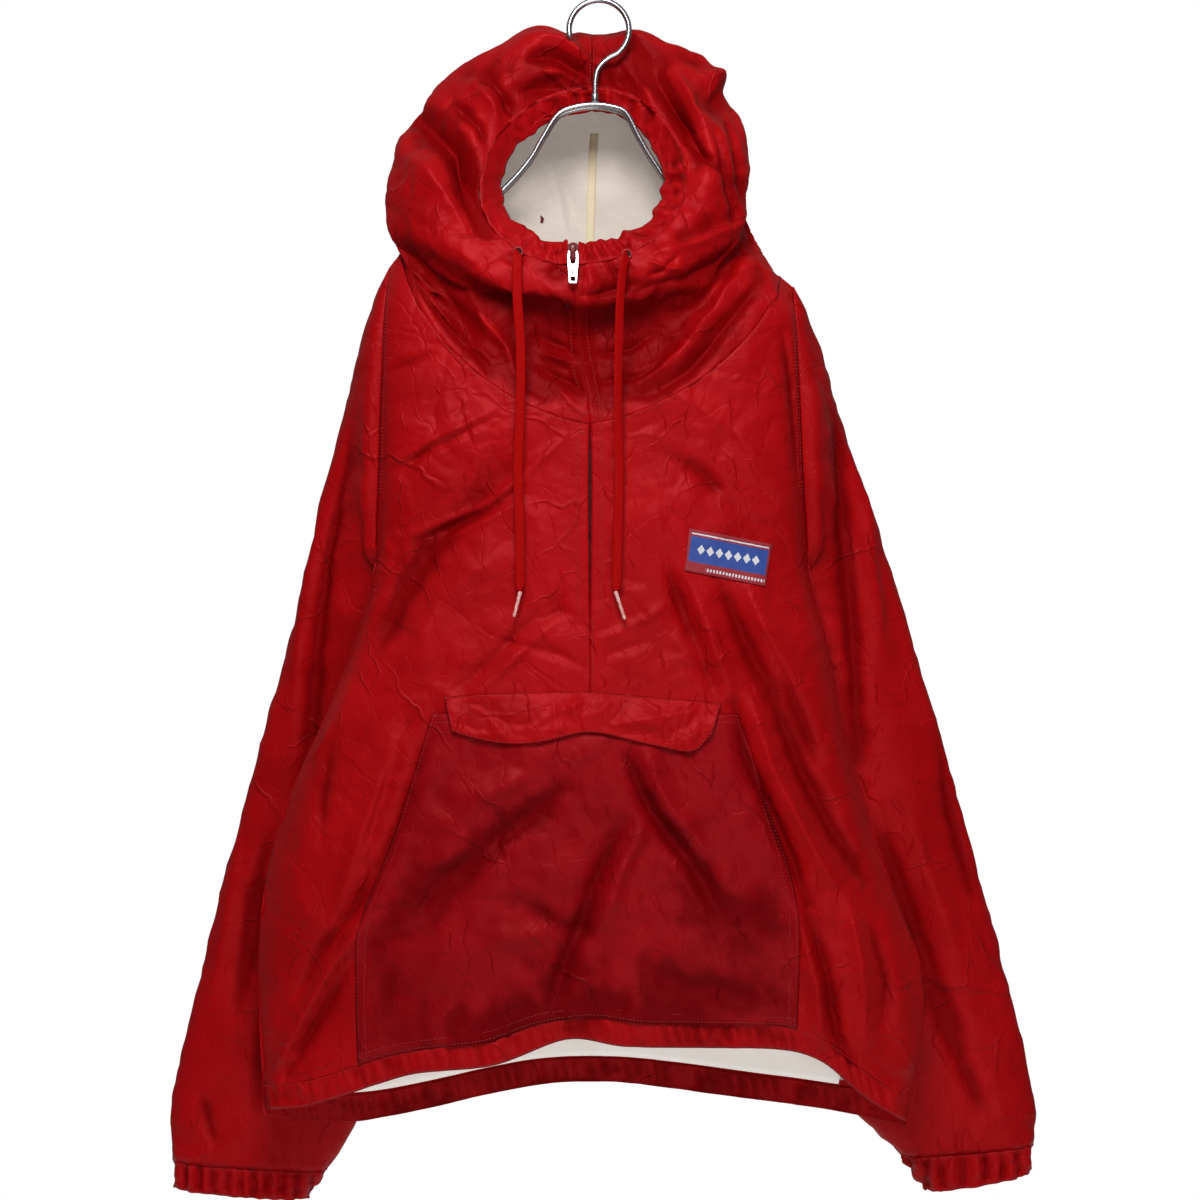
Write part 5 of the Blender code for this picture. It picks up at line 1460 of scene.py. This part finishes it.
# ---------------------------------------------------------------- Zip
# A half zip behind the slit: woven tape with a fine dark red coil, closed to the top, a slider
# painted dark red, and a nickel pull like a fork whose two arms hold the slider's bridge.
tape_cloth = shader("zip_tape_cloth", (0.11, 0.003, 0.006), 0.8)[0]
tape = one_side("zip_tape", "zip_tape_cloth", 1.0 * MM, front_most, 3)
points, normals = points_of(tape)
relief = np.where(points[:, 2] > -357, hood_relief(points, normals), front_relief(points))
relief *= np.clip((-240 - points[:, 2]) / 15, 0, 1)
points[:, 1] -= np.minimum(relief, 0) - 1.0 * (relief < 0)
set_points(tape, points)
thicken(tape, 0.6, tape_cloth)
tape_tree = tree_of(tape)


def wire(name, points, radius, material, closed=False, sides=4):
    """A round wire through points in millimetres."""
    line = bpy.data.curves.new(name, "CURVE")
    line.dimensions = "3D"
    line.bevel_depth = radius * MM
    line.bevel_resolution = sides
    line.use_fill_caps = True
    spline = line.splines.new("POLY")
    spline.points.add(len(points) - 1)
    for spot, point in zip(spline.points, points):
        spot.co = (*(value * MM for value in point), 1)
    spline.use_cyclic_u = closed
    return as_mesh(name, line, material)


def as_mesh(name, line, material):
    """The mesh of a curve, smooth shaded, with one material."""
    made = bpy.data.objects.new(name, line)
    bpy.context.scene.collection.objects.link(made)
    bpy.ops.object.select_all(action="DESELECT")
    made.select_set(True)
    bpy.context.view_layer.objects.active = made
    bpy.ops.object.convert(target="MESH")
    made = bpy.context.object
    made.data.materials.clear()
    made.data.materials.append(material)
    made.data.shade_smooth()
    made.data.set_sharp_from_angle(angle=math.radians(40))
    return made


def plate(name, outlines, thickness, edge, material):
    """A flat plate with rounded edges and holes, standing in the plane of x and z."""
    line = bpy.data.curves.new(name, "CURVE")
    line.dimensions = "2D"
    line.fill_mode = "BOTH"
    line.extrude = (thickness / 2 - edge) * MM
    line.bevel_depth = edge * MM
    line.bevel_resolution = 2
    for outline in outlines:
        spline = line.splines.new("POLY")
        spline.points.add(len(outline) - 1)
        for spot, (x, z) in zip(spline.points, outline):
            spot.co = (x * MM, z * MM, 0, 1)
        spline.use_cyclic_u = True
    made = as_mesh(name, line, material)
    made.data.transform(Matrix.Rotation(math.pi / 2, 4, "X"))
    return made


def join(name, pieces):
    """One piece of several, named anew."""
    bpy.ops.object.select_all(action="DESELECT")
    for piece in pieces:
        piece.select_set(True)
    bpy.context.view_layer.objects.active = pieces[0]
    bpy.ops.object.join()
    pieces[0].name = pieces[0].data.name = name
    return pieces[0]


coil = shader("zip_coil", (0.10, 0.003, 0.006), 0.45)[0]
coil_path = []
for step, height in enumerate(np.arange(-214.0, -519.0, -0.8)):
    middle = float(np.interp(-height, (214, 250, 300, 360, 520), (-21.5, -21.2, -17.2, -7.4, -7.4)))
    hit = tape_tree.ray_cast(Vector((middle, -300, height)), Vector((0, 1, 0)))[0]
    if hit is not None:
        side = 1.9 if step % 2 else -1.9
        coil_path.append((hit.x + side, hit.y - 0.5 - 0.4 * (step % 2), height))
teeth = wire("zip_coil", coil_path, 0.38, coil, sides=1)

painted = shader("slider_paint", (0.15, 0.003, 0.006), 0.35)[0]
nickel = shader("nickel", (0.44, 0.43, 0.42), 0.36, 1.0)[0]
body_outline = (
    (-3.9, -10), (-4.1, -3), (-3.4, -0.8), (-1.6, 0.2),
    (1.6, 0.2), (3.4, -0.8), (4.1, -3), (3.9, -10),
)
slider = plate("slider_body", [body_outline], 3.2, 0.6, painted)
slider.data.transform(Matrix.Translation(Vector((-21.5, -55.6, -212.3)) * MM))
# The bridge that the pull hangs from: width, then y and z
BRIDGE = (
    (3.6, -56.5, -212.6), (3.9, -59.3, -212.3), (4.1, -61.2, -213.2), (4.2, -61.8, -216.0),
    (4.1, -61.6, -222.0), (3.9, -61.0, -226.0), (3.4, -58.5, -227.6),
)
bridge = sweep(
    "slider_bridge", [(-21.5, y, z) for _, y, z in BRIDGE], [width for width, _, _ in BRIDGE],
    [1.1] * len(BRIDGE), [0] * len(BRIDGE), 12, painted, (-1, 0, 0),
)
slider = join("zip_slider_painted", [slider, bridge])
fork = (
    (-3.2, -3.0), (-3.9, -3.4), (-4.3, -6.0), (-4.5, -11.0), (-4.3, -15.0), (-3.9, -19.0),
    (-3.6, -24.0), (-3.2, -30.9), (-2.6, -31.6), (2.6, -31.6), (3.2, -30.9), (3.6, -24.0),
    (3.9, -19.0), (4.3, -15.0), (4.5, -11.0), (4.3, -6.0), (3.9, -3.4), (3.2, -3.0),
    (2.6, -3.6), (2.5, -11.0), (2.0, -13.6), (1.0, -14.8), (-1.0, -14.8), (-2.0, -13.6),
    (-2.5, -11.0), (-2.6, -3.6),
)
slot = ((-0.7, -19.4), (0.7, -19.4), (0.7, -23.2), (-0.7, -23.2))
window = ((-2.1, -25.6), (2.1, -25.6), (2.0, -30.0), (-2.0, -30.0))
pull = plate("pull_tab", [fork, slot, window], 1.4, 0.3, nickel)
pin = wire("pull_pin", [(-3.4, 0, -4.4), (3.4, 0, -4.4)], 0.7, nickel)
pull = join("zip_pull_tab", [pull, pin])
pull.data.transform(Matrix.Rotation(math.radians(-15.5), 4, "X"))
pull.data.transform(Matrix.Translation(Vector((-21.5, -59.6, -216.1)) * MM))
belongs(tape, "zip_tape")
belongs(teeth)
belongs(slider, "zip_slider")
belongs(pull, "zip_pull", "pull")

# ---------------------------------------------------------------- Eyelets
# Two small eyelets worked in red thread on the casing, one on each side of the zip, where the cord
# comes out. A black disc behind each ring is painted shadow for the inside of its hole.
painted_hole_shadow = shader("eyelet_hole", (0.012, 0.001, 0.001), 0.9)[0]
for hand, middle in (("left", (-67.0, -56.0, -219.0)), ("right", (23.0, -57.0, -221.0))):
    bpy.ops.object.select_all(action="DESELECT")
    bpy.ops.mesh.primitive_torus_add(
        major_radius=3.6 * MM, minor_radius=0.85 * MM, major_segments=40, minor_segments=12,
        rotation=(math.pi / 2, 0, 0), location=Vector(middle) * MM,
    )
    ring = bpy.context.object
    ring.name = f"eyelet_{hand}_thread"
    bpy.ops.object.transform_apply(location=True, rotation=True, scale=True)
    for vertex in ring.data.vertices:
        offset = vertex.co / MM - Vector(middle)
        turn = math.atan2(offset.z, offset.x)
        vertex.co += offset.normalized() * (0.12 * math.cos(26 * turn)) * MM
    ring.data.shade_smooth()
    ring.data.materials.append(thread)
    # The hole's painted shadow: a dark disc just behind the ring
    bpy.ops.mesh.primitive_circle_add(
        vertices=24, radius=3.1 * MM, fill_type="NGON", rotation=(math.pi / 2, 0, 0),
        location=(Vector(middle) + Vector((0, 0.5, 0))) * MM,
    )
    disc = bpy.context.object
    disc.name = f"eyelet_{hand}_hole"
    bpy.ops.object.transform_apply(location=True, rotation=True, scale=True)
    disc.data.materials.append(painted_hole_shadow)
    belongs(ring, f"eyelet_{hand}")
    belongs(disc)

# ---------------------------------------------------------------- Hanger
# A chrome wire hanger: two parallel rods bent to the shoulders' slope and joined at their ends, a
# short ferrule pressed on their bridge, and a swivelling hook of thicker wire.
chrome = shader("chrome", (0.42, 0.42, 0.44), 0.24, 1.0)[0]
ARM = (
    (-160.0, -216.0), (-118.0, -189.0), (-83.0, -161.0), (-60.0, -136.0), (-48.0, -116.0),
    (-36.0, -97.0), (-24.0, -90.0), (-3.4, -87.0), (17.0, -90.5), (25.0, -97.0), (32.0, -111.0),
    (42.0, -129.0), (53.0, -146.0), (66.0, -168.0), (84.0, -196.0), (106.0, -222.0), (146.0, -239.0),
)
ROD_RADIUS = 2.2
ROD_SPACING = (4.2, 3.0)     # half the distance between the rods, at the bridge and at the ends
line = smooth_rows(ARM, np.linspace(0, len(ARM) - 1, 6 * (len(ARM) - 1) + 1))
outwards = np.clip(np.abs(line[:, 0] + 3.4) / 140, 0, 1)
half = ROD_SPACING[0] + (ROD_SPACING[1] - ROD_SPACING[0]) * outwards
ahead = [(x, -3 * out - gap, z) for (x, z), out, gap in zip(line, outwards, half)]
behind = [(x, -3 * out + gap, z - 1) for (x, z), out, gap in zip(line, outwards, half)][::-1]
ends = []
for (x, y, z), direction in ((ahead[-1], 1), (behind[-1], -1)):
    for step in range(15, 180, 15):
        angle = math.radians(step)
        ends.append((x + direction * 2.7 * math.sin(angle), y + direction * 3 * (1 - math.cos(angle)),
                     z - 1.8 * math.sin(angle) - 0.5))
rods = wire("hanger_arms", [*ahead, *ends[:11], *behind, *ends[11:]], ROD_RADIUS, chrome, True)

bpy.ops.object.select_all(action="DESELECT")
bottom = -87.0 + ROD_RADIUS + 0.45
bpy.ops.mesh.primitive_cylinder_add(
    vertices=40, radius=3.6 * MM, depth=7.0 * MM, location=(-3.4 * MM, 0, (bottom + 3.5) * MM)
)
ferrule = bpy.context.object
ferrule.name = "hanger_ferrule_cap"
bpy.ops.object.transform_apply(location=True, rotation=True, scale=True)
rounding = ferrule.modifiers.new("edges", "BEVEL")
rounding.width = 0.8 * MM
rounding.segments = 3
apply_modifiers(ferrule)
ferrule.data.shade_smooth()
ferrule.data.materials.append(chrome)

hook_rows = [
    (-3.4, 0, bottom + 7.3), (-3.0, 0, -66.0), (-1.4, 0, -58.0), (3.0, 0, -51.5), (10.0, 0, -46.0),
]
HOOK_RADIUS = 25.5       # of the wire's middle line, round the point where the hook hangs
HOOK_CENTRE_Z = -23.1
for turn in np.arange(-50, 206, 16):
    angle = math.radians(turn)
    across, up = HOOK_RADIUS * math.cos(angle), HOOK_RADIUS * math.sin(angle)
    hook_rows.append((across, 0, HOOK_CENTRE_Z + up))
hook_line = smooth_rows(hook_rows, np.linspace(0, len(hook_rows) - 1, 6 * (len(hook_rows) - 1) + 1))
hook = wire("hanger_hook_wire", [tuple(point) for point in hook_line], 2.4, chrome, sides=5)
tip = Vector(hook_line[-1]) * MM
bpy.ops.mesh.primitive_uv_sphere_add(segments=24, ring_count=12, radius=2.4 * MM, location=tip)
cap = bpy.context.object
bpy.ops.object.transform_apply(location=True, rotation=True, scale=True)
cap.data.shade_smooth()
cap.data.materials.append(chrome)
hook = join("hanger_hook_wire", [hook, cap])
for piece, node in ((rods, "hanger_rods"), (ferrule, "hanger_ferrule"), (hook, "hanger_hook")):
    belongs(piece, node)

# ---------------------------------------------------------------- Surroundings
# A plain white studio. What its walls give back is dimmer, and dimmest from below, so that the
# folds keep their depth. Two soft lights stand in front, one behind and one at either side.
world = bpy.data.worlds.new("studio")
world.use_nodes = True
tree = world.node_tree
background = tree.nodes["Background"]
background.inputs[0].default_value = (1, 1, 1, 1)
path = tree.nodes.new("ShaderNodeLightPath")
direction = tree.nodes.new("ShaderNodeTexCoord")
parts = tree.nodes.new("ShaderNodeSeparateXYZ")
tree.links.new(direction.outputs["Generated"], parts.inputs[0])
lift = tree.nodes.new("ShaderNodeMapRange")
lift.inputs["From Min"].default_value = -0.25
lift.inputs["From Max"].default_value = 0.75
lift.inputs["To Min"].default_value = 0.08
lift.inputs["To Max"].default_value = 0.22
lift.interpolation_type = "SMOOTHSTEP"
tree.links.new(parts.outputs["Z"], lift.inputs["Value"])
strength = combine(tree, "MAXIMUM", path.outputs["Is Camera Ray"], lift.outputs["Result"])
tree.links.new(strength, background.inputs[1])
bpy.context.scene.world = world


def soft_light(name, place, aim, size, power, glossy=True):
    """A rectangular light at a place, turned to what it lights."""
    data = bpy.data.lights.new(name, "AREA")
    data.shape = "RECTANGLE"
    data.size, data.size_y = size
    data.energy = power
    light = bpy.data.objects.new(name, data)
    light.location = place
    light.visible_glossy = glossy
    direction = Vector(aim) - Vector(place)
    light.rotation_euler = direction.to_track_quat("-Z", "Y").to_euler()
    bpy.context.scene.collection.objects.link(light)


soft_light("key", (-0.12, -1.25, 0.55), (0, 0, -0.48), (0.6, 0.6), 21)
soft_light("fill", (0.4, -1.8, -0.95), (0, 0, -0.5), (0.9, 0.9), 7)
soft_light("rear", (0.3, 1.9, 0.5), (0, 0, -0.5), (1.2, 1.2), 16, False)
soft_light("side", (-1.9, 0.5, 0.1), (0, 0, -0.5), (0.8, 0.8), 2, False)
soft_light("other_side", (1.9, 0.5, 0.1), (0, 0, -0.5), (0.8, 0.8), 2, False)

bpy.ops.mesh.primitive_circle_add(vertices=96, radius=1.0, fill_type="NGON", location=(0, 0, 0))
floor = bpy.context.object
floor.name = "floor"
FLOOR_Z = -1.25
for vertex in floor.data.vertices:
    vertex.co.z = FLOOR_Z
floor.data.materials.append(shader("floor_paint", (0.85, 0.85, 0.85), 0.8, 0)[0])

bpy.context.scene.view_settings.view_transform = "Standard"

# ---------------------------------------------------------------- Last steps
# Which solid each dressed cloth stands for, and the cut of every soft piece.
PLACES = {
    "red_shell": (
        (fronts[0], "front_left"), (fronts[1], "front_right"), (back, "back_panel"),
        (front_hem, "front_hem"), (back_hem, "back_hem"), (sleeves[0], "sleeve_left"),
        (sleeves[1], "sleeve_right"), (cuffs[0], "cuff_left"), (cuffs[1], "cuff_right"),
        (hood[0], "hood_left"), (hood[1], "hood_right"), (casing, "hood_casing"),
        (pocket, "pocket"), (flap, "pocket_flap"),
    ),
    "cream_lining": ((hood_lining, "hood_lining"), (back_lining, "back_lining")),
    "woven_patch": ((patch, "chest_patch"),),
}
for slot_name, pieces in PLACES.items():
    for piece, node in pieces:
        belongs(piece, node)

# Each piece of cloth as it was cut: width and length of the oblong that holds it, and its area
CUTS = (
    (fronts[0], (0.29, 0.71), 0.142, "hung", ("hanger_arms",),
     ("neck_front_left", "armhole_front_left", "zip_front_left", "centre_front_left")),
    (fronts[1], (0.29, 0.70), 0.136, "hung", ("hanger_arms",),
     ("neck_front_right", "armhole_front_right", "zip_front_right", "centre_front_right")),
    (back, (0.60, 0.72), 0.300, "hung", ("hanger_arms",), ()),
    (front_hem, (0.024, 0.60), 0.0136, "gathered", (fronts[0], fronts[1]), ("hem_front",)),
    (back_hem, (0.024, 0.60), 0.0136, "gathered", (back,), ("hem_back",)),
    (sleeves[0], (0.46, 0.78), 0.196, "hung", (fronts[0], back), ()),
    (sleeves[1], (0.46, 0.78), 0.195, "hung", (fronts[1], back), ()),
    (cuffs[0], (0.028, 0.31), 0.0085, "gathered", (sleeves[0],), ("cuff_left_casing",)),
    (cuffs[1], (0.028, 0.30), 0.0082, "gathered", (sleeves[1],), ("cuff_right_casing",)),
    (hood[0], (0.36, 0.34), 0.088, "draped", ("hanger_hook_wire", "hanger_arms"),
     ("crown_hood_left", "zip_hood_left")),
    (hood[1], (0.36, 0.33), 0.081, "draped", ("hanger_hook_wire", "hanger_arms"),
     ("crown_hood_right", "zip_hood_right")),
    (casing, (0.028, 0.46), 0.0117, "gathered", (hood[0], hood[1]), ("hood_casing",)),
    (pocket, (0.375, 0.30), 0.090, "hung", (fronts[0], fronts[1]), ("pocket",)),
    (flap, (0.235, 0.052), 0.0092, "hung", (pocket,), ("flap",)),
    (patch, (0.076, 0.040), 0.0026, "laid", (fronts[1],), ()),
    (hood_lining, (0.29, 0.24), 0.051, "hung", (hood[0], hood[1]), ()),
    (back_lining, (0.445, 0.11), 0.034, "hung", (back,), ()),
    (tape, (0.019, 0.315), 0.0056, "hung", (fronts[0], fronts[1]), ()),
)
for piece, flat, area, held, rests_on, rows in CUTS:
    with_pieces = [bpy.data.objects["stitches_" + row] for row in rows]
    if piece is hood_lining:
        with_pieces.append(lining_tape)
